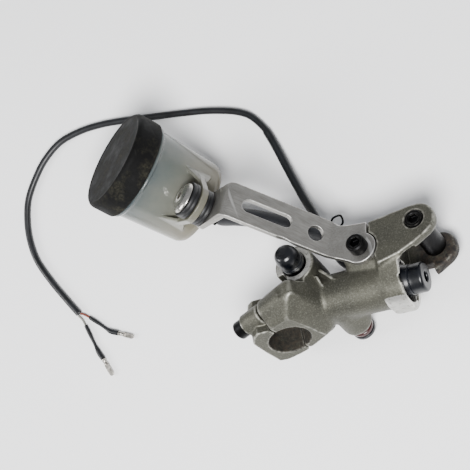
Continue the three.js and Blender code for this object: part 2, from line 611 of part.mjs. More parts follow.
// ---------------------------------------------------------------- strap
function strapShape() {
  const base = slab([
    [35, 16.85], [41.2, 11.7], [46.5, 7.4], ...arc(STRAP_SCREW.x, STRAP_SCREW.y, 8.7, 222, 412, 12),
    [60.2, 25.8], [50, 29], [45.6, 31.2], [42.8, 35.2],
  ], STRAP_SCREW.z - STRAP_T, STRAP_SCREW.z);

  const sideIn = (frame) => armSide.clone().transformDirection(frame.clone().invert());
  const skew = sideIn(armFrame);
  const edge = (side) => [(skew.x / skew.y) * side * STRAP_HALF, side * STRAP_HALF];
  const arm = slab([edge(-1), [ARM_LENGTH, -STRAP_HALF], [ARM_LENGTH, STRAP_HALF], edge(1)], -STRAP_T, 0);
  const armHole = disc(ARM_HOLE_R, -9, 9, 20).translate(ARM_HOLE_AT, 0, 0);
  const slot = slab([...arc(SLOT_FROM, 0, SLOT_R, 90, 270, 8), ...arc(SLOT_TO, 0, SLOT_R, -90, 90, 8)],
    -9, 9);
  const flange = slab([
    [0, -STRAP_HALF], ...arc(LUG_AT, 0, STRAP_HALF, -90, 90, 12), [0, STRAP_HALF],
  ], -STRAP_T, 0);

  // wedge that fills the outside of the first bend
  const ends = [-STRAP_HALF, STRAP_HALF].map((side) => new THREE.Vector3(...edge(side / STRAP_HALF),
    0).applyMatrix4(armFrame));
  const wedge = hull(ends.flatMap((p) => [
    p, p.clone().addScaledVector(UP, -STRAP_T), p.clone().addScaledVector(armNormal, -STRAP_T),
    p.clone().addScaledVector(UP.clone().add(armNormal).normalize(), -STRAP_T),
    p.clone().addScaledVector(level, -0.5).addScaledVector(UP, -STRAP_T),
    p.clone().addScaledVector(level, -0.5),
  ]));
  const whole = join(base, wedge, moved(arm, armFrame), moved(flange, flangeFrame));
  return cut(whole, moved(armHole, armFrame), moved(slot, armFrame),
    post(STRAP_SCREW.clone().setZ(0), STRAP_SCREW.clone().setZ(40), M6_HOLE_R, 12),
    post(PORT, PORT.clone().setZ(PORT.z + 40), PORT_CAP_WAY, 32),
    moved(disc(M6_HOLE_R, -20, 20, 12), reservoirFrame));
}

function addStrap(parent) {
  add(parent, 'reservoir_strap', strapShape(), STRAP_METAL);
  const screw = capScrew(0, STRAP_T + 9.5).rotateX(Math.PI);
  add(parent, 'strap_screw', moved(screw, at(STRAP_SCREW.x, STRAP_SCREW.y, STRAP_SCREW.z + GAP)),
    BLACK_STEEL);
}

// ---------------------------------------------------------------- reservoir
function cupShape() {
  const lugLow = 2 * GAP + GROMMET_T;
  const lugHigh = lugLow + LUG_T;
  const wallAt = (z) => CUP_BOTTOM_R + ((CUP_TOP_R - CUP_BOTTOM_R) * (z - CUP_BOTTOM)) / (CAP_TOP - CAP_H - CUP_BOTTOM);
  const skirt = CAP_TOP - CAP_H - GAP;
  const outer = turned([
    [0, CUP_BOTTOM], [CUP_BOTTOM_R - 4, CUP_BOTTOM], [CUP_BOTTOM_R - 1, CUP_BOTTOM + 1.4], [wallAt(-4), -4],
    [wallAt(skirt - 2), skirt - 2], [CUP_TOP_R + 1.2, skirt - 1.6], [CUP_TOP_R + 1.2, skirt],
    [CUP_NECK_R, skirt],
    [CUP_NECK_R, CUP_RIM], [0, CUP_RIM],
  ], 36).translate(CUP_OFFSET, 0, 0);
  const inner = turned([
    [0, CUP_BOTTOM + 2], [CUP_BOTTOM_R - 5, CUP_BOTTOM + 2], [wallAt(-3) - CUP_WALL, -3],
    [CUP_NECK_R - CUP_WALL, skirt - 3], [CUP_NECK_R - CUP_WALL, CUP_RIM + 2], [0, CUP_RIM + 2],
  ], 32).translate(CUP_OFFSET, 0, 0);
  const reach = 17;
  const lug = slab([...arc(0, 0, 11, 120, 240, 8), [CUP_OFFSET - 14, -reach], [CUP_OFFSET, -reach - 2],
    [CUP_OFFSET, reach + 2], [CUP_OFFSET - 14, reach]], lugLow, lugHigh);
  const rib = (side) => hull([
    [5, side * 10.2, lugHigh - 1], [5, side * 11.8, lugHigh - 1], [20, side * 16.2, lugHigh + 9], [20,
    side * 17.6, lugHigh + 9],
    [20, side * 16, lugLow - 6], [20, side * 17.4, lugLow - 6], [6, side * 10.4, lugLow], [6, side * 12,
    lugLow],
  ]);
  const spigot = disc(SPIGOT_R, CUP_BOTTOM - SPIGOT_LENGTH, CUP_BOTTOM + 1, 16).translate(CUP_OFFSET, 0, 0);
  const drain = disc(2.2, CUP_BOTTOM - SPIGOT_LENGTH - 1, CUP_BOTTOM + 4, 12).translate(CUP_OFFSET, 0, 0);
  return cut(join(outer, lug, rib(1), rib(-1), spigot), inner, drain, disc(4.4, -5, 20, 16));
}

function addReservoir(parent) {
  const group = groupAt(parent, reservoirFrame);
  const lugLow = 2 * GAP + GROMMET_T;
  const upper = lugLow + LUG_T + GAP;
  const seat = upper + GROMMET_T + GAP;
  add(group, 'reservoir_cup', cupShape(), MILKY_PLASTIC);
  add(group, 'lug_grommet_lower', ring(GROMMET_R, 4.4, GAP, GAP + GROMMET_T, 18), RUBBER);
  add(group, 'lug_grommet_upper', ring(GROMMET_R, 4.4, upper, upper + GROMMET_T, 18), RUBBER);
  add(group, 'lug_sleeve', ring(4.1, M6_HOLE_R, GAP, upper + GROMMET_T - 0.1, 20), BRIGHT_STEEL);
  const screw = cut(turned([
    [0, -8.6], [M6_R, -8.6], [M6_R, seat], [8.5, seat], [8.5, seat + 0.8], [6.6, seat + 2.2], [3.6,
    seat + 3], [0, seat + 3.2],
  ], 18), disc(2.2, seat + 1, seat + 9, 6));
  add(group, 'lug_screw', screw, BRIGHT_STEEL);
  const nut = cut(disc(5.7, -STRAP_T - GAP - 4.6, -STRAP_T - GAP, 6), disc(M6_HOLE_R, -20, 0, 16));
  add(group, 'lug_nut', nut, BLACK_STEEL);

  const top = groupAt(group, at(CUP_OFFSET, 0, 0));
  const cap = turned([
    [CUP_NECK_R + GAP, CAP_TOP - CAP_H], [CAP_R - 0.6, CAP_TOP - CAP_H], [CAP_R, CAP_TOP - CAP_H + 0.8],
    [CAP_R - 0.5, CAP_TOP - 0.8], [CAP_R - 1.3, CAP_TOP], [0, CAP_TOP],
    [0, CAP_TOP - 2.4], [CUP_NECK_R + GAP, CAP_TOP - 2.4],
  ], 40);
  add(top, 'reservoir_cap', cap, BLACK_PLASTIC);
  add(top, 'cap_insert', ring(CUP_NECK_R, 9, CUP_RIM + 1.9, CAP_TOP - 2.7, 22), MILKY_PLASTIC);
  const bellows = turned([
    [CUP_NECK_R, CUP_RIM + GAP], [CUP_NECK_R, CUP_RIM + 1.6], [20, CUP_RIM + 1.6], [19, CUP_RIM - 8],
    [14.6, CUP_RIM - 8],
    [13.6, CUP_RIM - 2.4], [10, CUP_RIM - 2.4], [9, CUP_RIM - 8], [0, CUP_RIM - 8],
    [0, CUP_RIM - 9.4], [10.2, CUP_RIM - 9.4], [11, CUP_RIM - 3.8], [12.6, CUP_RIM - 3.8], [13.6,
    CUP_RIM - 9.4],
    [20.2, CUP_RIM - 9.4], [21.2, CUP_RIM + GAP],
  ], 22);
  add(top, 'bellows', bellows, RUBBER);
}

// ---------------------------------------------------------------- reservoir hose
function addHose(parent) {
  const bottom = new THREE.Vector3(CUP_OFFSET, 0, CUP_BOTTOM).applyMatrix4(reservoirFrame);
  const down = flangeNormal.clone().negate();
  const cupEnd = [GAP, 5, 10, 14].map((d) => bottom.clone().addScaledVector(down, d));
  const nippleEnd = [14, 8, 2.9].map((d) => INLET.clone().addScaledVector(inletDirection, d));
  const middle = [[-11, 68.4, 14.6], [-2.4, 63.4, 14], [8.4, 55.8, 12.8], [18, 48, 11.4], [27, 40.2, 10]];
  const route = [...cupEnd, ...middle.map((p) => new THREE.Vector3(...p)), ...nippleEnd];
  add(parent, 'reservoir_hose', tube(route, HOSE_R, 22, 8, HOSE_HOLE_R), RUBBER);
  const loopSide = new THREE.Vector3(0, 1, 0.25);
  const clips = [
    ['hose_clip_upper', frameOf(bottom.clone().addScaledVector(down, 5), loopSide, down)],
    ['hose_clip_lower', frameOf(INLET.clone().addScaledVector(inletDirection, 13), loopSide,
    inletDirection)],
  ];
  for (const [name, frame] of clips) add(parent, name, moved(hoseClip(), frame), BLACK_STEEL);
}

// a spring wire clip: a closed ring round the hose and an upright loop to squeeze
function hoseClip() {
  const wire = 0.6;
  const band = new THREE.TorusGeometry(HOSE_R + GAP + wire, wire, 5, 16);
  const loop = tube([
    [HOSE_R + 0.9, 0, -0.5], [HOSE_R + 3.2, 0, -2.4], [HOSE_R + 6.6, 0, -2.9], [HOSE_R + 9.4, 0, 0],
    [HOSE_R + 6.6, 0, 2.9], [HOSE_R + 3.2, 0, 2.4], [HOSE_R + 0.9, 0, 0.5],
  ], wire, 10, 5);
  return join(band, loop);
}

// ---------------------------------------------------------------- switch lead
function addLead(parent) {
  add(parent, 'lead_sheath', tube(SHEATH_ROUTE, SHEATH_R, 14, 8), RUBBER);
  add(parent, 'switch_lead', tube(LEAD_ROUTE, LEAD_R, 34, 8), RUBBER);
  const wires = [
    ['brown', BROWN_ROUTE, BROWN_SLEEVE, BROWN_TIP, BROWN_WIRE],
    ['grey', GREY_ROUTE, GREY_SLEEVE, GREY_TIP, GREY_WIRE],
  ];
  for (const [name, route, sleeve, tip, material] of wires) {
    add(parent, `wire_${name}`, tube(route, WIRE_R, 4, 6), material);
    add(parent, `sleeve_${name}`, tube(sleeve, SLEEVE_R, 8, 8), RUBBER);
    const end = new THREE.Vector3(...sleeve[sleeve.length - 1]);
    const run = tip.clone().sub(end);
    const start = end.clone().addScaledVector(run, GAP / run.length());
    const length = run.length() - GAP;
    const terminal = join(disc(1.3, 0, 4, 10), box(-1.4, 1.4, -0.4, 0.4, 3.6, length));
    const side = new THREE.Vector3().crossVectors(run, UP);
    add(parent, `terminal_${name}`, moved(terminal, frameOf(start, side, run)), TINNED);
  }
}

// ---------------------------------------------------------------- assembly
const body = new THREE.Group();
add(body, 'master_body', masterBody(), CAST);
addClamp(body);
addBore(body);
addPivot(body);
addPorts(body);
addSwitch(body);
addStrap(body);
addReservoir(body);
addHose(body);

const group = new THREE.Group();
group.add(body);
body.rotation.set(REST_ROLL * DEG, REST_PITCH * DEG, 0, 'YXZ');
group.updateMatrixWorld(true);
const bounds = new THREE.Box3().setFromObject(body, true);
const middle = bounds.getCenter(new THREE.Vector3());
body.position.set(-middle.x, -middle.y, -bounds.min.z);
addLead(group);

export default group;
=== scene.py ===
"""Looks of the brake master cylinder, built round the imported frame."""
import json
import math

import bmesh
import bpy
import numpy as np
from mathutils import Matrix, Vector
from mathutils.geometry import delaunay_2d_cdt

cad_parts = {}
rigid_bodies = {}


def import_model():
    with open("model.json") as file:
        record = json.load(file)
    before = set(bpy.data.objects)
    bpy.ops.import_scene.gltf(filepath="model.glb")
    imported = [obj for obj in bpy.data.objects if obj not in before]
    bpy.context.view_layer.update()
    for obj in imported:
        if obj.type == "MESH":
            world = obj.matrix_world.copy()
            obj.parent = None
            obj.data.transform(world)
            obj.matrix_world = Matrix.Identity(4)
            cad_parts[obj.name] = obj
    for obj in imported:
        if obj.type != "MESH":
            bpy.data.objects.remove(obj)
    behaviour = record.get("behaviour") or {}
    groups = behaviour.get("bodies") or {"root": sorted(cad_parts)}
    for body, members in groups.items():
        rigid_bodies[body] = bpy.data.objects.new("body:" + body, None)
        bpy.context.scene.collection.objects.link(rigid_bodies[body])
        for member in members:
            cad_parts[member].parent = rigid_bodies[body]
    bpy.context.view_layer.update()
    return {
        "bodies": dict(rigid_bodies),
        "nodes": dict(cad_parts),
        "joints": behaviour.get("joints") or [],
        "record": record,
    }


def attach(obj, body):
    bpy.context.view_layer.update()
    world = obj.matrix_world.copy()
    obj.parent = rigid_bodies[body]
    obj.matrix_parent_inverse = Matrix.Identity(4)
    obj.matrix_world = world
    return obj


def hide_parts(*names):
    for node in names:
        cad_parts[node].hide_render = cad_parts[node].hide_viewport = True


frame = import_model()

# ------------------------------------------------------------------ frames
RAD = math.pi / 180
CASTING = (
    Matrix.Translation((-11.001, -57.181, 29.241))
    @ Matrix.Rotation(-1.1 * RAD, 4, "Y")
    @ Matrix.Rotation(-27.2 * RAD, 4, "X")
)  # casting's millimetres to the row frame's millimetres
MM = Matrix.Scale(0.001, 4)
X = Vector((1, 0, 0))
Y = Vector((0, 1, 0))
Z = Vector((0, 0, 1))


def frame_of(origin, x, z):
    z = Vector(z).normalized()
    y = z.cross(Vector(x)).normalized()
    x = y.cross(z)
    m = Matrix((x, y, z)).transposed().to_4x4()
    m.translation = Vector(origin)
    return m


def facing(origin, direction):
    d = Vector(direction).normalized()
    side = Y if abs(d.dot(Y)) < 0.9 else X
    return frame_of(origin, side, d)


def spun(v, axis, angle):
    return Matrix.Rotation(angle, 3, axis) @ v


MOUTH = Vector((69.5, -5.3, -1.7))
BORE_YAW = -12.3 * RAD
bore_dir = Vector((math.cos(BORE_YAW), math.sin(BORE_YAW), 0))
BORE = frame_of(MOUTH, (0, 0, -1), bore_dir)
BARREL = frame_of(MOUTH, bore_dir, Z)
TILT = 17.5 * RAD
CLAMP = frame_of((0, 0, 0), (math.cos(TILT), 0, math.sin(TILT)), (-math.sin(TILT), 0, math.cos(TILT)))
PIVOT = Vector((84.5, 15.4, 0))
PORT = Vector((17.5, 19.1, 18.4))
OUTLET = Vector((30.7, -1.6, -22.6))
INLET = Vector((45, 24.5, 4))
INLET_DIR = Vector((-0.72, 0.62, 0.31)).normalized()
SCREW = Vector((53.5, 12.6, 17))
BAR_R = 11.1
CLAMP_HALF = 10.6  # half the clamp's width along the bar
BOLT_AT = 16.9  # clamp screws, from the bar's axis
EAR_TOP = 16.7
EAR_BOTTOM = -18.4
EAR_T = 5.6
M6_HOLE_R = 3.3

side = Vector((-0.392, -0.92, 0)).normalized()
level = side.cross(Z)
RISE = 47.3 * RAD
rise = level * math.cos(RISE) + Z * math.sin(RISE)
arm_n = Z * math.cos(RISE) - level * math.sin(RISE)
arm_d = spun(rise, arm_n, -3.9 * RAD)
BEND = Vector((38.9, 26, 17))
ARM_LENGTH = 57.9
FOLD = 77.9 * RAD
arm_end = BEND + arm_d * ARM_LENGTH
fl_d = arm_d * math.cos(FOLD) - arm_n * math.sin(FOLD)
fl_n = arm_n * math.cos(FOLD) + arm_d * math.sin(FOLD)
lug = arm_end + fl_d * 21.8
LUG = frame_of(lug, spun(fl_d, fl_n, -30.8 * RAD), fl_n)
CUP_OFFSET = 34.6
CUP = LUG @ Matrix.Translation((CUP_OFFSET, 0, 0))


# ------------------------------------------------------------------ mesh tools, in millimetres
def made(bm):
    bmesh.ops.recalc_face_normals(bm, faces=bm.faces)
    mesh = bpy.data.meshes.new("m")
    bm.to_mesh(mesh)
    bm.free()
    return mesh


def turned(profile, seg=96, matrix=None, soft=0.0):
    """A closed profile of (radius, height) turned about Z; soft rounds its corners by about that much."""
    if soft:
        profile = rounded(profile, soft)
    bm = bmesh.new()
    rings = []
    for r, h in profile:
        if r < 1e-6:
            rings.append([bm.verts.new((0, 0, h))])
        else:
            rings.append([
                bm.verts.new((r * math.cos(2 * math.pi * i / seg), r * math.sin(2 * math.pi * i / seg), h))
                for i in range(seg)
            ])
    for a, b in zip(rings, rings[1:] + rings[:1]):
        for i in range(seg):
            j = (i + 1) % seg
            quad = [a[i % len(a)], a[j % len(a)], b[j % len(b)], b[i % len(b)]]
            face = [v for k, v in enumerate(quad) if v not in quad[:k]]
            if len(face) >= 3 and not (len(a) == 1 and len(b) == 1):
                bm.faces.new(face)
    if matrix is not None:
        bm.transform(matrix)
    return made(bm)


def rounded(points, radius, steps=3):
    """The corners of a closed outline, rounded."""
    out = []
    n = len(points)
    for i in range(n):
        p, a, b = (Vector((*points[k], 0)) for k in (i, (i - 1) % n, (i + 1) % n))
        if p.x < 1e-6 and radius < 50 and (a.x < 1e-6 or b.x < 1e-6):
            out.append((p.x, p.y))
            continue
        la, lb = (a - p).length, (b - p).length
        if la < 1e-6 or lb < 1e-6:
            continue
        d = min(radius, la * 0.45, lb * 0.45)
        s, e = p + (a - p) * (d / la), p + (b - p) * (d / lb)
        for k in range(steps + 1):
            t = k / steps
            q = s * (1 - t) ** 2 + p * 2 * t * (1 - t) + e * t * t
            out.append((q.x, q.y))
    return out


def hexagon(r):
    return [(r * math.cos(k * math.pi / 3), r * math.sin(k * math.pi / 3)) for k in range(6)]


def disc(r, low, high, matrix=None, seg=64, soft=0.0):
    return turned([(0, low), (r, low), (r, high), (0, high)], seg, matrix, soft)


def ring(outer, inner, low, high, matrix=None, seg=64, soft=0.0):
    return turned([(inner, low), (outer, low), (outer, high), (inner, high)], seg, matrix, soft)


def post(a, b, r, seg=64, soft=0.0):
    a = Vector(a)
    b = Vector(b)
    return disc(r, 0, (b - a).length, facing(a, b - a), seg, soft)


def slab(outline, low, high, matrix=None):
    bm = bmesh.new()
    bottom = [bm.verts.new((x, y, low)) for x, y in outline]
    top = [bm.verts.new((x, y, high)) for x, y in outline]
    bm.faces.new(bottom)
    bm.faces.new(top)
    n = len(outline)
    for i in range(n):
        bm.faces.new([bottom[i], bottom[(i + 1) % n], top[(i + 1) % n], top[i]])
    if matrix is not None:
        bm.transform(matrix)
    bmesh.ops.triangulate(bm, faces=bm.faces)
    return made(bm)


def block(x0, x1, y0, y1, z0, z1, matrix=None):
    return slab([(x0, y0), (x1, y0), (x1, y1), (x0, y1)], z0, z1, matrix)


def hull(points, matrix=None):
    bm = bmesh.new()
    for p in points:
        bm.verts.new(p)
    bmesh.ops.convex_hull(bm, input=bm.verts)
    bmesh.ops.delete(bm, geom=[v for v in bm.verts if not v.link_faces], context="VERTS")
    if matrix is not None:
        bm.transform(matrix)
    bmesh.ops.triangulate(bm, faces=bm.faces)
    return made(bm)


def circle(r, z, matrix=None, seg=40, centre=(0, 0)):
    turns = [2 * math.pi * i / seg for i in range(seg)]
    pts = [Vector((centre[0] + r * math.cos(a), centre[1] + r * math.sin(a), z)) for a in turns]
    return pts if matrix is None else [matrix @ p for p in pts]


def arc(cx, cy, r, a0, a1, steps):
    turns = [(a0 + (a1 - a0) * i / steps) * RAD for i in range(steps + 1)]
    return [(cx + r * math.cos(a), cy + r * math.sin(a)) for a in turns]


def smooth_route(points, count):
    """Catmull-Rom points through a route, evenly spaced."""
    pts = [Vector(p) for p in points]
    pts = [pts[0] * 2 - pts[1], *pts, pts[-1] * 2 - pts[-2]]
    fine = []
    for i in range(1, len(pts) - 2):
        a, b, c, d = pts[i - 1:i + 3]
        for k in range(24):
            t = k / 24
            second = 2 * a - 5 * b + 4 * c - d
            third = 3 * b - a - 3 * c + d
            fine.append(0.5 * (2 * b + (c - a) * t + second * t * t + third * t ** 3))
    fine.append(pts[-2])
    run = [0.0]
    for a, b in zip(fine, fine[1:]):
        run.append(run[-1] + (b - a).length)
    out = []
    j = 0
    for i in range(count):
        s = run[-1] * i / (count - 1)
        while j < len(run) - 2 and run[j + 1] < s:
            j += 1
        t = (s - run[j]) / max(run[j + 1] - run[j], 1e-9)
        out.append(fine[j].lerp(fine[j + 1], min(1, t)))
    return out


def tube(points, radius, seg=20, hole=0.0, matrix=None):
    """A round bar along points; radius may be a function of the share of the way. A hole makes it a hose."""
    size = radius if callable(radius) else (lambda t: radius)
    bm = bmesh.new()
    n = len(points)
    up = None
    outer = []
    inner = []
    for i, p in enumerate(points):
        d = (points[min(i + 1, n - 1)] - points[max(i - 1, 0)]).normalized()
        if up is None:
            up = d.orthogonal().normalized()
        up = (up - d * up.dot(d)).normalized()
        w = d.cross(up)
        r = size(i / (n - 1))

        def loop(rr):
            angles = [2 * math.pi * k / seg for k in range(seg)]
            return [bm.verts.new(p + up * (rr * math.cos(a)) + w * (rr * math.sin(a))) for a in angles]

        outer.append(loop(r))
        if hole:
            inner.append(loop(hole))
    for loops in (outer, inner):
        for a, b in zip(loops, loops[1:]):
            for k in range(seg):
                bm.faces.new([a[k], a[(k + 1) % seg], b[(k + 1) % seg], b[k]])
    for end in (0, -1):
        if hole:
            for k in range(seg):
                nxt = (k + 1) % seg
                bm.faces.new([outer[end][k], outer[end][nxt], inner[end][nxt], inner[end][k]])
        else:
            bm.faces.new(outer[end])
    if matrix is not None:
        bm.transform(matrix)
    return made(bm)


def holder(mesh):
    obj = bpy.data.objects.new("work", mesh)
    bpy.context.scene.collection.objects.link(obj)
    return obj


def baked(obj):
    """The object's mesh with its modifiers applied; the object goes."""
    bpy.context.view_layer.update()
    dg = bpy.context.evaluated_depsgraph_get()
    mesh = bpy.data.meshes.new_from_object(obj.evaluated_get(dg))
    bpy.data.objects.remove(obj)
    return mesh


def combine(base, others, operation):
    obj = holder(base)
    helpers = []
    for mesh in others:
        helper = holder(mesh)
        helpers.append(helper)
        mod = obj.modifiers.new("b", "BOOLEAN")
        mod.operation = operation
        mod.solver = "MANIFOLD"
        mod.object = helper
    mesh = baked(obj)
    for helper in helpers:
        bpy.data.objects.remove(helper)
    return mesh


def join(first, *others):
    return combine(first, others, "UNION")


def cut(first, *others):
    return combine(first, others, "DIFFERENCE")


def remeshed(mesh, voxel, rounds, factor=0.5):
    """Rebuilds a closed mesh from small even faces, then melts its edges."""
    obj = holder(mesh)
    mod = obj.modifiers.new("r", "REMESH")
    mod.mode = "VOXEL"
    mod.voxel_size = voxel
    mod.adaptivity = 0
    if rounds:
        mod = obj.modifiers.new("s", "SMOOTH")
        mod.factor = factor
        mod.iterations = rounds
    return baked(obj)


def bevelled(mesh, width, segments=2, angle=30):
    obj = holder(mesh)
    mod = obj.modifiers.new("w", "WELD")
    mod.merge_threshold = 1e-4
    mod = obj.modifiers.new("b", "BEVEL")
    mod.width = width
    mod.segments = segments
    mod.limit_method = "ANGLE"
    mod.angle_limit = angle * RAD
    mod.harden_normals = False
    return baked(obj)


def place(node, mesh, material, body="casting", matrix=CASTING, flat=38):
    """Puts a mesh made in the casting's millimetres into the row frame, in the place of its CAD node."""
    name = "look_" + node
    mesh.transform(MM @ matrix)
    mesh.name = name
    for polygon in mesh.polygons:
        polygon.use_smooth = True
    obj = bpy.data.objects.new(name, mesh)
    bpy.context.scene.collection.objects.link(obj)
    mesh.materials.clear()
    mesh.materials.append(material)
    if flat:
        mesh.set_sharp_from_angle(angle=flat * RAD)
    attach(obj, body)
    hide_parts(node)
    return obj


# ------------------------------------------------------------------ materials
class Nodes:
    """A material's node tree, built step by step."""

    def __init__(self, name):
        self.material = bpy.data.materials.new(name)
        self.material.use_nodes = True
        self.tree = self.material.node_tree
        self.shader = self.tree.nodes["Principled BSDF"]

    def add(self, kind, inputs=None, **settings):
        node = self.tree.nodes.new(kind)
        for key, value in settings.items():
            setattr(node, key, value)
        for key, value in (inputs or {}).items():
            self.put(node, key, value)
        return node

    def put(self, node, key, value):
        if isinstance(value, bpy.types.NodeSocket):
            self.tree.links.new(value, node.inputs[key])
        else:
            node.inputs[key].default_value = value

    def out(self, key, value):
        self.put(self.shader, key, value)

    def place(self, scale=(1, 1, 1)):
        where = self.add("ShaderNodeTexCoord").outputs["Object"]
        return self.add("ShaderNodeMapping", {"Vector": where, "Scale": scale}).outputs[0]

    def noise(self, scale, detail=4, rough=0.55, where=None, stretch=(1, 1, 1)):
        where = where or self.place(stretch)
        return self.add("ShaderNodeTexNoise", {"Vector": where, "Scale": scale, "Detail": detail,
            "Roughness": rough}).outputs[0]

    def ramp(self, value, stops, kind="LINEAR"):
        node = self.add("ShaderNodeValToRGB", {"Fac": value})
        node.color_ramp.interpolation = kind
        while len(node.color_ramp.elements) < len(stops):
            node.color_ramp.elements.new(0.5)
        for element, (at, color) in zip(node.color_ramp.elements, stops):
            element.position = at
            element.color = (*color, 1) if len(color) == 3 else color
        return node.outputs[0]

    def level(self, value, low, high, a=0.0, b=1.0):
        return self.add("ShaderNodeMapRange", {"Value": value, "From Min": low, "From Max": high,
            "To Min": a, "To Max": b}).outputs[0]

    def math(self, op, a, b=0.0):
        node = self.add("ShaderNodeMath", operation=op)
        self.put(node, 0, a)
        self.put(node, 1, b)
        return node.outputs[0]

    def mix(self, share, a, b):
        node = self.add("ShaderNodeMix", data_type="RGBA")
        self.put(node, "Factor", share)
        for key, value in ((6, a), (7, b)):
            if isinstance(value, bpy.types.NodeSocket):
                self.tree.links.new(value, node.inputs[key])
            else:
                node.inputs[key].default_value = (*value, 1)
        return node.outputs[2]

    def bump(self, height, distance, strength=1.0, normal=None):
        node = self.add("ShaderNodeBump", {"Height": height, "Distance": distance, "Strength": strength})
        if normal is not None:
            self.put(node, "Normal", normal)
        return node.outputs[0]

    def attribute(self, name):
        return self.add("ShaderNodeAttribute", attribute_name=name).outputs["Fac"]


def srgb(code):
    """A hex colour as linear light."""
    return tuple(((int(code[i:i + 2], 16) / 255) ** 2.2) for i in (0, 2, 4))


def cast_metal():
    """Grey coated sand casting: fine grain, bright worn edges, machined faces, and dark grime mixed with
    painted shade where its mask lies.
    """
    m = Nodes("cast_metal")
    worn = m.attribute("worn")
    bright = m.attribute("machined")
    grime_and_shade = m.attribute("grime_and_shade")
    cloud = m.noise(55, 5, 0.6)
    grain = m.noise(2600, 3, 0.7)
    pits = m.noise(900, 4, 0.65)
    base = m.mix(m.level(cloud, 0.3, 0.7), srgb("34342e"), srgb("49483f"))
    base = m.mix(m.level(grain, 0.35, 0.7, 0, 0.5), base, srgb("6c6b62"))
    base = m.mix(m.level(m.noise(1150, 3, 0.7), 0.5, 0.72, 0, 0.36), base, srgb("87867c"))
    edge = m.math("MULTIPLY", worn, m.level(m.noise(420, 4), 0.35, 0.6))
    base = m.mix(m.math("MULTIPLY", edge, 0.6), base, srgb("b9b8ae"))
    tool = m.level(m.noise(260, 3, 0.6), 0.3, 0.75)
    shiny = m.mix(tool, srgb("b3b2ad"), srgb("dcdbd6"))
    rag = m.math("MULTIPLY", bright, m.level(m.noise(700, 3), 0.28, 0.4))
    base = m.mix(rag, base, shiny)
    # Dark brown grime mixed with painted shade, where the mask is painted: darker, less metallic and rougher.
    grime_and_shade_share = m.math("MULTIPLY", grime_and_shade, m.level(m.noise(340, 5, 0.7), 0.22, 0.5))
    grime_and_shade_colour = m.mix(m.level(m.noise(420, 4, 0.7), 0.4, 0.62), srgb("0c0907"), srgb("332b23"))
    base = m.mix(grime_and_shade_share, base, grime_and_shade_colour)
    m.out("Base Color", base)
    m.out("Metallic", m.level(grime_and_shade_share, 0, 1, 0.75, 0.1))
    rough = m.level(grain, 0.3, 0.7, 0.42, 0.58)
    rough = m.math("SUBTRACT", rough, m.math("MULTIPLY", rag, 0.2))
    m.out("Roughness", m.math("ADD", rough, m.math("MULTIPLY", grime_and_shade_share, 0.2)))
    height = m.math("ADD", m.math("MULTIPLY", grain, 0.5), pits)
    height = m.math("MULTIPLY", height, m.level(bright, 0, 1, 1, 0.2))
    m.out("Normal", m.bump(height, 0.00016, 0.7))
    return m.material


def brushed(name, dark, light, rough, stretch, scale=900, metal=1.0, marks=0.5):
    """Bare metal with fine lines; stretch draws them out along an axis."""
    m = Nodes(name)
    lines = m.noise(scale, 4, 0.7, stretch=stretch)
    broad = m.noise(45, 4, 0.6)
    color = m.mix(m.level(lines, 0.3, 0.7), srgb(dark), srgb(light))
    color = m.mix(m.level(broad, 0.35, 0.75, 0, 0.35), color, srgb(dark))
    m.out("Base Color", color)
    m.out("Metallic", metal)
    m.out("Roughness", m.level(lines, 0.3, 0.7, rough - 0.08, rough + 0.08))
    m.out("Normal", m.bump(lines, 0.00004, marks))
    return m.material


def strap_metal():
    """Raw aluminium plate, brushed along its length, with a few scratches and a brighter cut edge."""
    m = Nodes("strap_metal")
    row = m.place()
    turn = m.add("ShaderNodeMapping", {"Vector": row, "Rotation": (0.25, -0.75, 0.62)}).outputs[0]
    long = m.add("ShaderNodeMapping", {"Vector": turn, "Scale": (0.06, 1, 1)}).outputs[0]
    lines = m.add("ShaderNodeTexNoise", {"Vector": long, "Scale": 1500, "Detail": 4,
        "Roughness": 0.7}).outputs[0]
    broad = m.noise(70, 5, 0.65)
    color = m.mix(m.level(lines, 0.3, 0.7), srgb("8b8984"), srgb("aaa8a3"))
    color = m.mix(m.level(broad, 0.4, 0.8, 0, 0.55), color, srgb("6f6d68"))
    scratch = m.level(m.noise(240, 2, 0.4, stretch=(1, 0.07, 0.3)), 0.66, 0.7)
    color = m.mix(m.math("MULTIPLY", scratch, 0.5), color, srgb("e6e5e2"))
    edge = m.attribute("worn")
    color = m.mix(edge, color, srgb("e2e1dd"))
    m.out("Base Color", color)
    m.out("Metallic", 0.92)
    m.out("Roughness", m.level(lines, 0.3, 0.7, 0.34, 0.48))
    m.out("Normal", m.bump(lines, 0.00003, 0.5))
    return m.material


def dark_steel(name="dark_steel", base="151517", wear="6a675f", share=0.5, rough=0.42):
    """Black oxide with rims rubbed brown and bright."""
    m = Nodes(name)
    spots = m.noise(500, 5, 0.7)
    edge = m.math("MULTIPLY", m.attribute("worn"), m.level(spots, 0.35, 0.6, 0, share))
    color = m.mix(m.level(m.noise(160, 4), 0.3, 0.7), srgb(base), srgb("141416"))
    color = m.mix(edge, color, srgb(wear))
    m.out("Base Color", color)
    m.out("Metallic", 0.85)
    m.out("Roughness", m.level(spots, 0.3, 0.7, rough - 0.1, rough + 0.1))
    m.out("Normal", m.bump(m.noise(1500, 3, 0.6), 0.00005, 0.35))
    return m.material


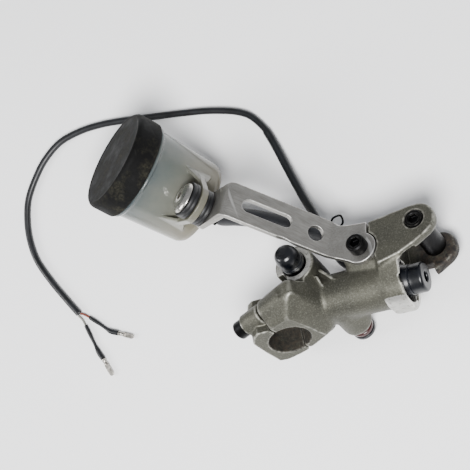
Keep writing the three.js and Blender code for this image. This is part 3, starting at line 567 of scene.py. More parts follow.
def rubber(name, base, light, rough, dust=0.25, coat=0.0):
    """Black rubber with pale dusty patches."""
    m = Nodes(name)
    patch = m.noise(120, 5, 0.65)
    color = m.mix(m.level(patch, 0.35, 0.7, 0, dust), srgb(base), srgb(light))
    color = m.mix(m.math("MULTIPLY", m.attribute("worn"), 0.35), color, srgb(light))
    m.out("Base Color", color)
    m.out("Roughness", m.level(patch, 0.3, 0.7, rough - 0.07, rough + 0.1))
    m.out("Specular IOR Level", 0.5)
    m.out("Coat Weight", coat)
    m.out("Coat Roughness", 0.25)
    m.out("Normal", m.bump(m.noise(1400, 4, 0.6), 0.00006, 0.4))
    return m.material


def cap_plastic():
    """Black moulded cap: scuffed face, dusty olive patches on its skirt."""
    m = Nodes("cap_plastic")
    blot = m.noise(90, 6, 0.7)
    fine = m.noise(700, 5, 0.7)
    color = m.mix(m.level(fine, 0.3, 0.7), srgb("060606"), srgb("0f0f0f"))
    dust = m.math("MULTIPLY", m.level(blot, 0.5, 0.68), m.level(fine, 0.35, 0.7))
    color = m.mix(m.math("MULTIPLY", dust, 0.7), color, srgb("403e34"))
    scuff = m.level(m.noise(320, 3, 0.5, stretch=(1, 0.2, 1)), 0.62, 0.7)
    color = m.mix(m.math("MULTIPLY", scuff, 0.12), color, srgb("3b3a38"))
    color = m.mix(m.math("MULTIPLY", m.attribute("worn"), 0.35), color, srgb("4a4945"))
    m.out("Base Color", color)
    m.out("Roughness", m.level(blot, 0.35, 0.65, 0.6, 0.85))
    m.out("Specular IOR Level", 0.14)
    m.out("Normal", m.bump(fine, 0.00008, 0.4))
    return m.material


def milky_plastic():
    """Aged translucent reservoir plastic, bluish towards the cap and yellowish towards the lug."""
    m = Nodes("milky_plastic")
    where = m.add("ShaderNodeTexCoord").outputs["Object"]
    axis = (CASTING.to_3x3() @ fl_n).normalized()
    dot = m.add("ShaderNodeVectorMath", operation="DOT_PRODUCT")
    m.put(dot, 0, where)
    dot.inputs[1].default_value = axis
    start = (CASTING @ (CUP @ Vector((0, 0, 0)))).dot(axis) * 0.001
    height = m.math("SUBTRACT", dot.outputs["Value"], start)
    tone = m.ramp(m.level(height, -0.008, 0.036), [
        (0.0, srgb("716b5a")), (0.35, srgb("69685d")), (0.75, srgb("575d5a")), (1.0, srgb("434d52"))])
    blot = m.noise(60, 4, 0.6)
    tone = m.mix(m.level(blot, 0.35, 0.7, 0, 0.3), tone, srgb("7a776c"))
    m.out("Base Color", tone)
    m.out("Roughness", 0.18)
    m.out("Subsurface Weight", 0.32)
    m.out("Subsurface Radius", (0.9, 0.85, 0.7))
    m.out("Subsurface Scale", 0.006)
    m.out("Transmission Weight", 0.18)
    m.out("IOR", 1.45)
    m.out("Normal", m.bump(m.noise(300, 3), 0.00005, 0.3))
    return m.material


def plain(name, color, rough, metal=0.0, transmission=0.0, grain=0.2):
    """Moulded plastic of one colour, slightly mottled."""
    m = Nodes(name)
    patch = m.noise(200, 4, 0.6)
    dark = tuple(c * 0.75 for c in srgb(color))
    m.out("Base Color", m.mix(m.level(patch, 0.3, 0.7), dark, srgb(color)))
    m.out("Roughness", m.level(patch, 0.3, 0.7, rough - 0.05, rough + 0.08))
    m.out("Metallic", metal)
    m.out("Transmission Weight", transmission)
    m.out("Normal", m.bump(patch, 0.00006, grain))
    return m.material


CAST = cast_metal()
STRAP = strap_metal()
STEEL = dark_steel("dark_steel", "0a0a0b", "5a574f")
BUSH = dark_steel("bush_steel", "0b0a09", "3a352c", 0.6, 0.4)
BRIGHT = brushed("bright_steel", "aeaba4", "c8c6c0", 0.27, (1, 1, 1), 60, marks=0.01)
TURNED = brushed("turned_metal", "8d8d8b", "b5b5b2", 0.34, (1, 1, 1), 600)
SEAL = rubber("seal_rubber", "08090b", "222327", 0.45)
BOOT = rubber("boot_rubber", "05070c", "1d222c", 0.3, dust=0.2)
HOSE = rubber("hose_rubber", "141519", "33353b", 0.5)
LEAD = rubber("lead_rubber", "05070b", "1a1f28", 0.42)
BLACK = plain("black_plastic", "1c1b1c", 0.5)
CAP = cap_plastic()
MILKY = milky_plastic()
WHITE = plain("white_plastic", "c9c8bd", 0.4)
RED = plain("red_plastic", "3f0d08", 0.25, 0, 0.3)
BROWN = plain("brown_wire", "6b2f1e", 0.5)
GREY = plain("grey_wire", "77766f", 0.5)
TINNED = brushed("tinned", "85817a", "c9c5bd", 0.38, (1, 1, 1), 700)


# ------------------------------------------------------------------ painted masks
def arrays(mesh):
    n = len(mesh.vertices)
    co = np.empty(n * 3, np.float32)
    mesh.vertices.foreach_get("co", co)
    no = np.empty(n * 3, np.float32)
    mesh.vertex_normals.foreach_get("vector", no)
    return co.reshape(-1, 3).astype(float), no.reshape(-1, 3).astype(float)


def paint(mesh, name, values):
    layer = mesh.attributes.get(name) or mesh.attributes.new(name, "FLOAT", "POINT")
    layer.data.foreach_set("value", np.clip(values, 0, 1).astype(np.float32))


def wear(mesh, low=0.12, high=0.4, blur=2):
    """Paints convex edges as worn: low and high are curvatures per millimetre."""
    co, no = arrays(mesh)
    e = np.empty(len(mesh.edges) * 2, np.int32)
    mesh.edges.foreach_get("vertices", e)
    a = e[0::2]
    b = e[1::2]
    n = len(co)
    count = np.bincount(a, minlength=n) + np.bincount(b, minlength=n)
    count = np.maximum(count, 1)

    def around(v):
        total = np.zeros_like(v)
        if v.ndim == 1:
            return (np.bincount(a, v[b], n) + np.bincount(b, v[a], n)) / count
        for k in range(v.shape[1]):
            total[:, k] = np.bincount(a, v[b, k], n) + np.bincount(b, v[a, k], n)
        return total / count[:, None]

    length = np.linalg.norm(co[a] - co[b], axis=1).mean()
    bend = ((co - around(co)) * no).sum(1) / (length * length)
    for _ in range(blur):
        bend = 0.5 * bend + 0.5 * around(bend)
    paint(mesh, "worn", (bend - low) / (high - low))
    return mesh


def near_plane(co, no, point, normal, reach=0.25, within=None):
    """1 where a vertex lies on a flat machined face."""
    p = np.array(point, float)
    n = np.array(Vector(normal).normalized(), float)
    on = (np.abs((co - p) @ n) < reach) & ((no @ n) > 0.85)
    if within is not None:
        centre = np.array(within[0], float)
        on &= np.linalg.norm(co - centre, axis=1) < within[1]
    return on.astype(float)


def in_bore(co, frame, r, low, high, slack=0.35):
    """1 where a vertex lies on a round wall about the frame's Z axis."""
    inv = np.array(frame.inverted(), float)
    q = co @ inv[:3, :3].T + inv[:3, 3]
    rad = np.hypot(q[:, 0], q[:, 1])
    return ((np.abs(rad - r) < slack) & (q[:, 2] > low) & (q[:, 2] < high)).astype(float)


# ------------------------------------------------------------------ casting
def ear():
    """Outline of the lever fork's ears."""
    tip = arc(85.6, 14.3, 9.9, 84, -64, 24)
    return [(60, 25.8), (74, 25.2), (82, 24.7), *tip, (82, 2.2), (72.5, -0.2), (60, -1)]


def bolt_axis(s):
    """Frame of a clamp screw, its Z pointing into the casting."""
    return CLAMP @ frame_of((0, 0, s * BOLT_AT), (0, 1, 0), (1, 0, 0))


def raw_casting():
    """The casting before smoothing and machining; machined faces stand proud by `over`."""
    over = 0.7
    foot_print = [(46, 4), (46, 27), (62, 25.7), (70, 25.5), (68.5, -2), (66, -6)]
    crown = [(50, 9), (50, 26), (62, 25.7), (70, 25.5), (69.5, 3), (62, 3.5)]
    fork = hull([(*p, z) for p in foot_print for z in (EAR_BOTTOM, 7)] + [(*p, EAR_TOP - 2.8) for p in crown])
    upper = slab(ear(), EAR_TOP - EAR_T, EAR_TOP + over)
    lower = slab(ear(), EAR_BOTTOM - over, EAR_BOTTOM + EAR_T)
    across = BARREL @ frame_of((-11.5, 0, 0), (0, 1, 0), (1, 0, 0))
    pad = [(-4, -14.8), (-9, -12.8), (-13.6, -8.4), (-13.6, 0), (0, 6), (10, -6), (10, -15.2)]
    foot = slab(pad, 0, 11.5 + over, across)
    flange = disc(13.4, -11.5, over, BORE)
    jaw = [CLAMP @ Vector(p) for s in (-1, 1) for p in (
        (0, s * 11, 15.2), (0, s * 11, -15.2), (12, s * 10.9, 14.5), (15, s * 10.9, -14))]
    rear = circle(11.9, -56, BORE) + circle(11.9, -44, BORE)
    neck = [CLAMP @ Vector(p) for p in ((0, -3.8, 20), (0, 5.4, 20), (22, -3.8, 22.4), (22, 5.4, 22.4))]
    web = hull(jaw + rear + neck)
    top = block(0, 24, -3.8, 5.4, 8, 21.8, CLAMP)
    low = Vector((PORT.x, PORT.y, -6))
    below = (PORT.x, PORT.y)
    skirt = hull(circle(10.4, -57, BORE) + circle(11, 5, centre=below) + circle(9, -6, centre=below))
    seat = hull([
        (42, 13, 14.2), (46, 9.5, 14.2), (56, 6.4, 14.2), (62, 8, 14.2), (62, 25, 14.2), (50, 26, 14.2),
        (43, 19, 14.2), (40, 10, -4), (43, 0, 4), (62.6, -4, 8), (63, 25, -4), (50, 26, -4), (43, 19, -4),
    ])
    shoulder = hull(circle(13.2, -11.5, BORE) + circle(13.2, -1.5, BORE) + [Vector(p) for p in (
        (60, 24, 12.5), (60, 6, 15.5), (69.5, 24, 12.5), (69.5, 1, 16), (74, 24.2, 16.2), (74, 1, 16.2))])
    return join(
        disc(12.5, -60, -2, BORE, 96), shoulder, flange, foot, fork, upper, lower, web, top,
        disc(6, 0, 16, bolt_axis(1)), disc(6, 0, 15, bolt_axis(-1)),
        post(low, PORT + Z * over, 11, 96), skirt, seat,
        post((OUTLET.x, OUTLET.y, -4), OUTLET - Z * over, 8.4),
        post(INLET - INLET_DIR * 13, INLET + INLET_DIR * over, 7.5),
    )


PLUNGER = Vector((66.4, 21.4, -6.6))
SPOTS = [Vector((52, 0, -6.6)), Vector((57, 0, -6.6))]


def machining():
    """The solids that cutters and pockets take out of the casting."""
    port_axis = Matrix.Translation((PORT.x, PORT.y, 0))
    outlet_axis = Matrix.Translation((OUTLET.x, OUTLET.y, 0))
    pivot_axis = Matrix.Translation((PIVOT.x, PIVOT.y, 0))
    strap_way = [*arc(SCREW.x, SCREW.y, 9.4, -78, 62, 20), (60.6, 21), (61.4, 30), (40, 40), (30, 0), (52, 0)]
    lever_way = [(70.6, 40), (68.2, 3.5), (67.5, -12), (110, -12), (110, 40)]
    fork = [(57, -4), (57, 40), (110, 40), (110, -4)]
    return [
        # bar clamp: bar, split face, both sides, screws
        post((0, -20, 0), (0, 20, 0), BAR_R, 128),
        block(-40, 0.3, -20, 20, -40, 40, CLAMP),
        block(-8, 17, CLAMP_HALF, 16, -18, 25, CLAMP),
        block(-8, 13, -16, -CLAMP_HALF, -22, 22, CLAMP),
        disc(M6_HOLE_R, -2, 13.5, bolt_axis(1)),
        disc(M6_HOLE_R, -2, 13.5, bolt_axis(-1)),
        # bore, boot recess, circlip groove, mouth face
        disc(9, -55, 1, BORE, 96),
        disc(11.3, -9, 1, BORE, 96),
        disc(9.9, -11.4, -10, BORE, 96),
        block(0, 9, -16, 14, -17, 16, BARREL),
        # upper port, outlet, inlet and their drillings
        post(PORT - Z * 14, PORT + Z * 2, 6.95, 96),
        disc(13, PORT.z, 24, port_axis),
        post(OUTLET - Z * 2, OUTLET + Z * 10, 5.3),
        disc(10, -30, OUTLET.z, outlet_axis),
        post(OUTLET, (OUTLET.x, OUTLET.y + 4, -6), 1.6, 24),
        post((PORT.x, PORT.y, PORT.z - 10), (20.5, 6, -2), 1.6, 24),
        post(INLET - INLET_DIR * 6.6, INLET + INLET_DIR * 1, 4.9),
        post(INLET, (44, 2, -1.7), 1.3, 24),
        post(INLET, INLET + INLET_DIR * 24, 7.6),
        # lever pivot, strap screw, strap step, lever space, ear faces
        disc(4.3, -40, 40, pivot_axis),
        disc(5.2, EAR_TOP - 2.6, EAR_TOP + 5, pivot_axis),
        post((SCREW.x, SCREW.y, 2), (SCREW.x, SCREW.y, 30), M6_HOLE_R),
        slab(strap_way, SCREW.z - 3.3, 30),
        slab(lever_way, EAR_BOTTOM + EAR_T, EAR_TOP - EAR_T),
        slab(fork, EAR_TOP, 30),
        slab(fork, -30, EAR_BOTTOM),
        # switch pocket
        block(37, 66.7, 17.3, 40, -10.9, -2.3),
        post((65.4, 21.4, -6.6), (75.4, 21.4, -6.6), 2.4, 32),
        *[post((p.x, 11.6, p.z), (p.x, 18.6, p.z), 1.5, 24) for p in SPOTS],
    ]


def casting():
    far = hull([
        (27.5, 13, 14), (29, 13.6, 14), (38, 2, 9.5), (36.6, 1.4, 9.5), (27.5, 12, 4), (30, 12, 4),
        (36, 2, 4),
    ])
    near = hull([
        (25.5, 10.5, 14), (27, 9.9, 14), (29, -1, 9), (27.4, -1, 9), (25, 9, 4), (27, 9, 4), (28, 0, 4),
    ])
    body = remeshed(join(remeshed(raw_casting(), 0.5, 56), far, near), 0.45, 7)
    mesh = remeshed(cut(body, *machining()), 0.33, 3)
    wear(mesh, 0.045, 0.16, 3)
    co, no = arrays(mesh)
    bright = near_plane(co, no, PORT, Z, within=(PORT, 9.9))
    bright += near_plane(co, no, MOUTH, bore_dir, 0.3)
    bright += near_plane(co, no, OUTLET, -Z)
    bright += in_bore(co, BORE, 11.3, -9.2, 0.2) + in_bore(co, Matrix.Translation(PORT), 7.1, -14, 0.4, 0.8)
    inner = in_bore(co, BORE, 9.0, -56, -8)
    to_barrel = np.array(BARREL.inverted(), float)
    q = co @ to_barrel[:3, :3].T + to_barrel[:3, 3]
    bright += ((q[:, 0] > -11.8) & (q[:, 0] < 0.4) & (q[:, 1] < -11.6)) * 0.8
    paint(mesh, "machined", bright * 0.9 + inner * 0.5)
    # Painted shade mixed with grease: the lower ear's sides grow darker towards the bottom, past x 70 and
    # below z -4.
    grime_and_shade = np.clip((co[:, 0] - 70) / 6, 0, 1) * np.clip((-4 - co[:, 2]) / 5, 0, 1) * (no[:, 2] > -0.9)
    # The bar hole's wall, darkened as grime and painted shade in the hole.
    grime_and_shade += in_bore(co, frame_of((0, 0, 0), X, Y), BAR_R, -11, 11, 0.5) * 0.8
    # A dark ring round the pivot screw's head on the upper ear.
    rim = np.hypot(co[:, 0] - PIVOT.x, co[:, 1] - PIVOT.y)
    grime_and_shade += np.exp(-((rim - 5.4) / 0.5) ** 2) * (co[:, 2] > 14) * 0.8
    paint(mesh, "grime_and_shade", grime_and_shade)
    place("master_body", mesh, CAST, flat=0)


def clamp_cap():
    face = [
        (-0.3, 15.4), (-5.5, 18.6), (-9, 17.6), (-13.2, 14), (-15.4, 2), (-16.8, -9.4), (-13.6, -12.4),
        (-5.6, -14.6), (-0.3, -15.2),
    ]
    side_on = CLAMP @ Matrix.Rotation(-math.pi / 2, 4, "X")
    shell = slab([(a, -s) for a, s in rounded(face, 2.5)], -11, 11, side_on)
    turn = [bolt_axis(s) for s in (1, -1)]
    raw = join(shell, *[disc(6, -12.9, -0.3, t) for t in turn])
    raw = remeshed(raw, 0.4, 10)
    mesh = cut(
        raw,
        post((0, -20, 0), (0, 20, 0), BAR_R, 128),
        block(-0.3, 9, -20, 20, -30, 30, CLAMP),
        block(-30, 10, CLAMP_HALF, 16, -30, 30, CLAMP),
        block(-30, 10, -16, -CLAMP_HALF, -30, 30, CLAMP),
        *[disc(M6_HOLE_R, -40, 10, t) for t in turn],
        *[disc(6.5, -40, -12.4, t) for t in turn],
    )
    mesh = wear(remeshed(mesh, 0.28, 3), 0.05, 0.18, 3)
    co, no = arrays(mesh)
    bright = near_plane(co, no, (CLAMP @ Vector((-12.4, 0, 0))), CLAMP.to_3x3() @ Vector((-1, 0, 0)))
    paint(mesh, "machined", bright * 0.8)
    # The bar hole's wall, darkened as grime and painted shade in the hole.
    paint(mesh, "grime_and_shade", in_bore(co, frame_of((0, 0, 0), X, Y), BAR_R, -11, 11, 0.5) * 0.8)
    place("clamp_cap", mesh, CAST, flat=0)
    for name, t in zip(("upper", "lower"), turn):
        screw = cap_screw(-12.7, 12.6, t)
        place("clamp_bolt_" + name, screw, STEEL, flat=0)


def cap_screw(seat, tip, matrix):
    """An M6 socket cap screw along Z: its head lies below the seat."""
    head = turned([
        (0, seat - 6), (4.3, seat - 6), (5, seat - 5.3), (5, seat), (3, seat), (3, tip - 0.6), (2.4, tip),
        (0, tip),
    ], 72)
    socket = slab(hexagon(2.9), seat - 7, seat - 2.8)
    rim = turned([(0, seat - 7), (3.4, seat - 7), (3.4, seat - 6), (2.7, seat - 5.5), (0, seat - 5.5)], 48)
    mesh = wear(remeshed(cut(head, socket, rim), 0.16, 2), 0.2, 0.8, 2)
    mesh.transform(matrix)
    return mesh


# ------------------------------------------------------------------ bore and pivot
def bore_parts():
    boot = turned(rounded([
        (10.9, -8.6), (10.9, -5.2), (9.4, -4.6), (8.7, -2.2), (8.0, 0.6), (7.8, 3.0), (7.8, 8), (7, 8.9),
        (3.1, 8.9), (2.6, 8.2), (2.6, 7.2), (6, 6.6), (6, 0.4), (6.6, -2.2), (7.2, -5.6), (8.9, -6.6),
        (8.9, -8.6),
    ], 0.9), 128)
    groove = turned([(7.5, 1.2), (8.4, 1.0), (8.4, 1.8), (7.5, 1.6)], 96)
    mesh = wear(remeshed(cut(boot, groove), 0.22, 2), 0.12, 0.5, 2)
    mesh.transform(BORE)
    place("dust_boot", mesh, BOOT, flat=0)


def pivot_parts():
    here = Matrix.Translation((PIVOT.x, PIVOT.y, 0))
    low = EAR_BOTTOM + EAR_T + 0.4
    high = EAR_TOP - EAR_T - 0.4
    bush = ring(6, 4.08, low, high, None, 96, 0.5)
    mesh = wear(remeshed(bush, 0.2, 1), 0.15, 0.6, 2)
    mesh.transform(here)
    place("pivot_bush", mesh, BUSH, "bush", flat=0)
    screw = turned([
        (0, EAR_BOTTOM - 5.4), (3.4, EAR_BOTTOM - 5.4), (4, EAR_BOTTOM - 4.8), (4, EAR_TOP - 2.3),
        (4.9, EAR_TOP - 2.3), (4.9, EAR_TOP + 0.1), (4.5, EAR_TOP + 0.7), (0, EAR_TOP + 0.7),
    ], 96)
    socket = slab(hexagon(2.75), EAR_TOP - 1.9, 30)
    dish = turned([(0, EAR_TOP + 0.1), (2.8, EAR_TOP + 0.1), (3.5, EAR_TOP + 0.8), (0, EAR_TOP + 0.8)], 64)
    mesh = wear(remeshed(cut(screw, socket, dish), 0.16, 2), 0.2, 0.8, 2)
    mesh.transform(here)
    place("pivot_screw", mesh, STEEL, flat=0)
    nut = slab(hexagon(6.6), EAR_BOTTOM - 5, EAR_BOTTOM - 0.3)
    chamfer = turned([(6, EAR_BOTTOM - 5.2), (9, EAR_BOTTOM - 5.2), (9, EAR_BOTTOM - 3.8)], 64)
    mesh = wear(remeshed(cut(nut, disc(4.3, -40, 0), chamfer), 0.2, 2), 0.2, 0.8, 2)
    mesh.transform(here)
    place("pivot_nut", mesh, STEEL, flat=0)


# ------------------------------------------------------------------ ports
def port_parts():
    here = Matrix.Translation(PORT)
    fitting = turned([
        (0, -12.5), (4.5, -12.5), (4.5, -9.5), (3.6, -9.2), (3.6, -7.6), (6.5, -7.2), (6.5, -2.7),
        (5.2, -2.5), (5.2, 0.2), (3, 0.5), (3, 8.6), (2.2, 9.6), (1.2, 9.6), (1.2, -4), (0, -4),
    ], 72, None, 0.25)
    mesh = wear(remeshed(fitting, 0.2, 1), 0.2, 0.8, 2)
    mesh.transform(here)
    place("port_fitting", mesh, STEEL, flat=0)
    clip = cut(ring(6.75, 5.5, -2.1, -1.1, None, 96), block(4, 8, -1.8, 1.8, -4, 2))
    mesh = wear(remeshed(clip, 0.12, 1), 0.3, 1.2, 1)
    mesh.transform(here)
    place("port_circlip", mesh, STEEL, flat=0)
    cap = turned(rounded([
        (6.4, 0.9), (6.5, 1.2), (6.5, 3.2), (6.1, 3.5), (6.1, 4.1), (6.4, 4.5), (6.35, 8.2), (6.05, 9.8),
        (5.4, 11.5), (4.3, 12.6), (2.5, 13.2), (0, 13.3), (0, 10.2), (3.4, 9.9), (3.4, 1.9), (5.4, 0.9),
    ], 0.45), 128)
    notch = block(-1.6, 1.6, -8, -4.9, 0, 2.0)
    line = ring(6.6, 6.1, 8.0, 8.25, None, 96)
    mesh = wear(remeshed(cut(cap, notch, line), 0.18, 2), 0.15, 0.6, 2)
    mesh.transform(here)
    place("port_dust_cap", mesh, BOOT, "port_cap", flat=0)

    here = Matrix.Translation(OUTLET)
    plug = turned([
        (0, 8), (4.8, 8), (4.8, -0.3), (6.2, -0.5), (6.2, -2.2), (5.8, -2.6), (5.8, -3.2), (6.3, -3.6),
        (6.3, -5.6), (5.3, -6.0), (5.3, -8.0), (0, -8.2),
    ], 96, None, 0.3)
    plug.transform(here)
    place("outlet_plug", plug, RED)
    rim = ring(6.45, 5.4, -8.4, -6.2, here, 96, 0.35)
    place("outlet_plug_cap", rim, BOOT)
    nipple = turned([
        (0.9, -6), (4.6, -6), (4.6, 0.3), (6.2, 0.5), (6.2, 2.2), (3.6, 2.6), (3.6, 15), (3, 15.8),
        (0.9, 15.8),
    ], 72, facing(INLET, INLET_DIR), 0.25)
    place("feed_nipple", nipple, BLACK)


# ------------------------------------------------------------------ switch
def switch_parts():
    x0 = 49
    x1 = 66.4
    y0 = 17.6
    y1 = 25.2
    z0 = -10.6
    z1 = -2.6
    shell = block(x0, x1, y0, y1, z0, z1)
    holes = [
        post((x1 - 7.4, 21.4, -6.6), (x1 + 1, 21.4, -6.6), 2.25, 40),
        post((x0 - 1, 21.4, -6.6), (x0 + 1.5, 21.4, -6.6), 1.2, 24),
    ]
    holes += [post((p.x, 15, p.z), (p.x, 27, p.z), 1.6, 32) for p in SPOTS]
    around = block(48, 67.4, 22.9, 23.2, -11.6, -1.6)
    core = block(x0 + 0.25, x1 - 0.25, 22, 24, z0 + 0.25, z1 - 0.25)
    seam = cut(around, core)
    mesh = remeshed(cut(shell, seam, *holes), 0.16, 2)
    place("switch_housing", mesh, BLACK, flat=0)
    tip = turned([(0, -3.2), (1.9, -3.2), (1.9, 4.6), (1.2, 5.6), (0, 5.6)], 64, facing(PLUNGER, X), 0.5)
    place("switch_plunger", tip, WHITE, "plunger")
    for name, p in zip(("rear", "front"), SPOTS):
        profile = [(0, -5.5), (1.2, -5.5), (1.2, 7.9), (2.3, 7.9), (2.3, 8.9), (1.6, 9.5), (0, 9.5)]
        screw = turned(profile, 48, None, 0.2)
        cross = [block(-2, 2, -0.35, 0.35, 8.7, 12), block(-0.35, 0.35, -2, 2, 8.7, 12)]
        screw = cut(screw, *cross)
        screw.transform(facing((p.x, y0, p.z), Y))
        place("switch_screw_" + name, bevelled(screw, 0.06), STEEL)
    ribs = [(0, 0), (3.5, 0), (3.5, 1.5)]
    for k in range(3):
        z = 1.7 + k * 1.05
        ribs += [(2.6, z), (2.6, z + 0.3), (3.0 - 0.1 * k, z + 0.45), (3.0 - 0.1 * k, z + 0.85)]
    boot = turned([*ribs, (2.55, 5), (0, 5)], 64, facing((x0 - 0.3, 21.4, -6.6), -X), 0.15)
    place("lead_boot", boot, BOOT)


# ------------------------------------------------------------------ strap
def strap():
    """The plate's flat pattern, cut out and folded over real bend radii."""
    arm_y = arm_n.cross(arm_d)
    to_flat = np.array([[arm_d.dot(rise), arm_y.dot(rise)], [arm_d.dot(side), arm_y.dot(side)]])
    to_arm = np.linalg.inv(to_flat)

    def from_base(x, y):
        d = Vector((x - BEND.x, y - BEND.y, 0))
        return tuple(to_arm @ np.array([d.dot(level), d.dot(side)]))

    front = arc(SCREW.x, SCREW.y, 8.7, 222, 412, 26)
    base = [(41.2, 11.7), (46.5, 7.4), *front, (60.2, 25.8), (50, 29), (45.6, 31.2)]
    skew = Vector((side.dot(arm_d), side.dot(arm_y)))
    corner = {s: (skew.x / skew.y * s * 10, s * 10.0) for s in (-1, 1)}
    lug_x = ARM_LENGTH + 21.8
    loop = [from_base(*p) for p in base]
    first = Vector(loop[0])
    near_side = -1 if abs(first.y + 10) < abs(first.y - 10) else 1
    far_side = -near_side
    outline = [
        *loop, corner[far_side], (ARM_LENGTH - 2, far_side * 10.0),
        *arc(lug_x, 0, 10, 90 * far_side, -90 * far_side, 24), (ARM_LENGTH - 2, near_side * 10.0),
        corner[near_side],
    ]
    outline = rounded(outline, 1.6, 3)
    screw_hole = [
        from_base(SCREW.x + M6_HOLE_R * math.cos(a), SCREW.y + M6_HOLE_R * math.sin(a))
        for a in [k * math.pi / 16 for k in range(32)]
    ]
    slot = [*arc(24.5, 0, 3.6, 90, 270, 16), *arc(45, 0, 3.6, -90, 90, 16)]
    holes = [screw_hole, arc(7.4, 0, 4.25, 0, 349, 31), arc(lug_x, 0, 3.3, 0, 345, 23), slot]

    def inside(poly, x, y):
        """Whether a point lies in a polygon."""
        hit = False
        for (x0, y0), (x1, y1) in zip(poly, poly[1:] + poly[:1]):
            if (y0 > y) != (y1 > y) and x < (x1 - x0) * (y - y0) / (y1 - y0) + x0:
                hit = not hit
        return hit

    points = []
    edges = []
    for poly in (outline, *holes):
        start = len(points)
        points += [Vector(p) for p in poly]
        edges += [(start + i, start + (i + 1) % len(poly)) for i in range(len(poly))]
    xs = [p[0] for p in outline]
    ys = [p[1] for p in outline]
    step = 1.1
    for i in range(int((max(xs) - min(xs)) / step)):
        for j in range(int((max(ys) - min(ys)) / step)):
            x = min(xs) + (i + 0.5) * step
            y = min(ys) + (j + 0.5) * step
            if inside(outline, x, y) and not any(inside(h, x, y) for h in holes):
                points.append(Vector((x, y)))
    verts, _, faces, *_ = delaunay_2d_cdt(points, edges, [], 0, 1e-4)
    kept = []
    for f in faces:
        cx = sum(verts[k].x for k in f) / 3
        cy = sum(verts[k].y for k in f) / 3
        if inside(outline, cx, cy) and not any(inside(h, cx, cy) for h in holes):
            kept.append(f)

    plate_t = 3.0
    r1 = 2.6  # radius of the first bend, on its upper face
    r2 = 5.2  # radius of the second bend, on its upper face
    t1 = r1 * math.tan(RISE / 2)
    t2 = r2 * math.tan(FOLD / 2)

    def fold(x, y):
        """Where a point of the flat pattern's upper face goes, and its normal."""
        if x > ARM_LENGTH - t2:
            over = x - ARM_LENGTH
            if over > t2:
                return arm_end + fl_d * over + arm_y * y, fl_n
            phi = FOLD * (over + t2) / (2 * t2)
            n = arm_n * math.cos(phi) + arm_d * math.sin(phi)
            centre = BEND + arm_d * (ARM_LENGTH - t2) + arm_y * y - arm_n * r2
            return centre + n * r2, n
        a, b = to_flat @ np.array([x, y])
        if a > t1:
            return BEND + arm_d * x + arm_y * y, arm_n
        if a < -t1:
            return BEND + level * a + side * b, Z
        phi = RISE * (a + t1) / (2 * t1)
        n = Z * math.cos(phi) - level * math.sin(phi)
        centre = BEND - level * t1 + Z * r1 + side * b
        return centre - n * r1, n

    bm = bmesh.new()
    top = []
    bottom = []
    for v in verts:
        p, n = fold(v.x, v.y)
        top.append(bm.verts.new(p))
        bottom.append(bm.verts.new(p - n * plate_t))
    used = {}
    for f in kept:
        bm.faces.new([top[k] for k in f])
        bm.faces.new([bottom[k] for k in reversed(f)])
        for a, b in zip(f, f[1:] + f[:1]):
            used[(a, b)] = True
    for a, b in used:
        if (b, a) not in used:
            bm.faces.new([top[b], top[a], bottom[a], bottom[b]])
    bmesh.ops.delete(bm, geom=[v for v in bm.verts if not v.link_faces], context="VERTS")
    plate = cut(made(bm), post(PORT, PORT + Z * 40, 6.9, 96))
    mesh = wear(remeshed(plate, 0.27, 1), 0.3, 1.0, 1)
    place("reservoir_strap", mesh, STRAP, flat=0)
    turn = Matrix.Translation((SCREW.x, SCREW.y, SCREW.z + 0.3)) @ Matrix.Rotation(math.pi, 4, "X")
    screw = cap_screw(0, 12.5, turn)
    place("strap_screw", screw, STEEL, flat=0)


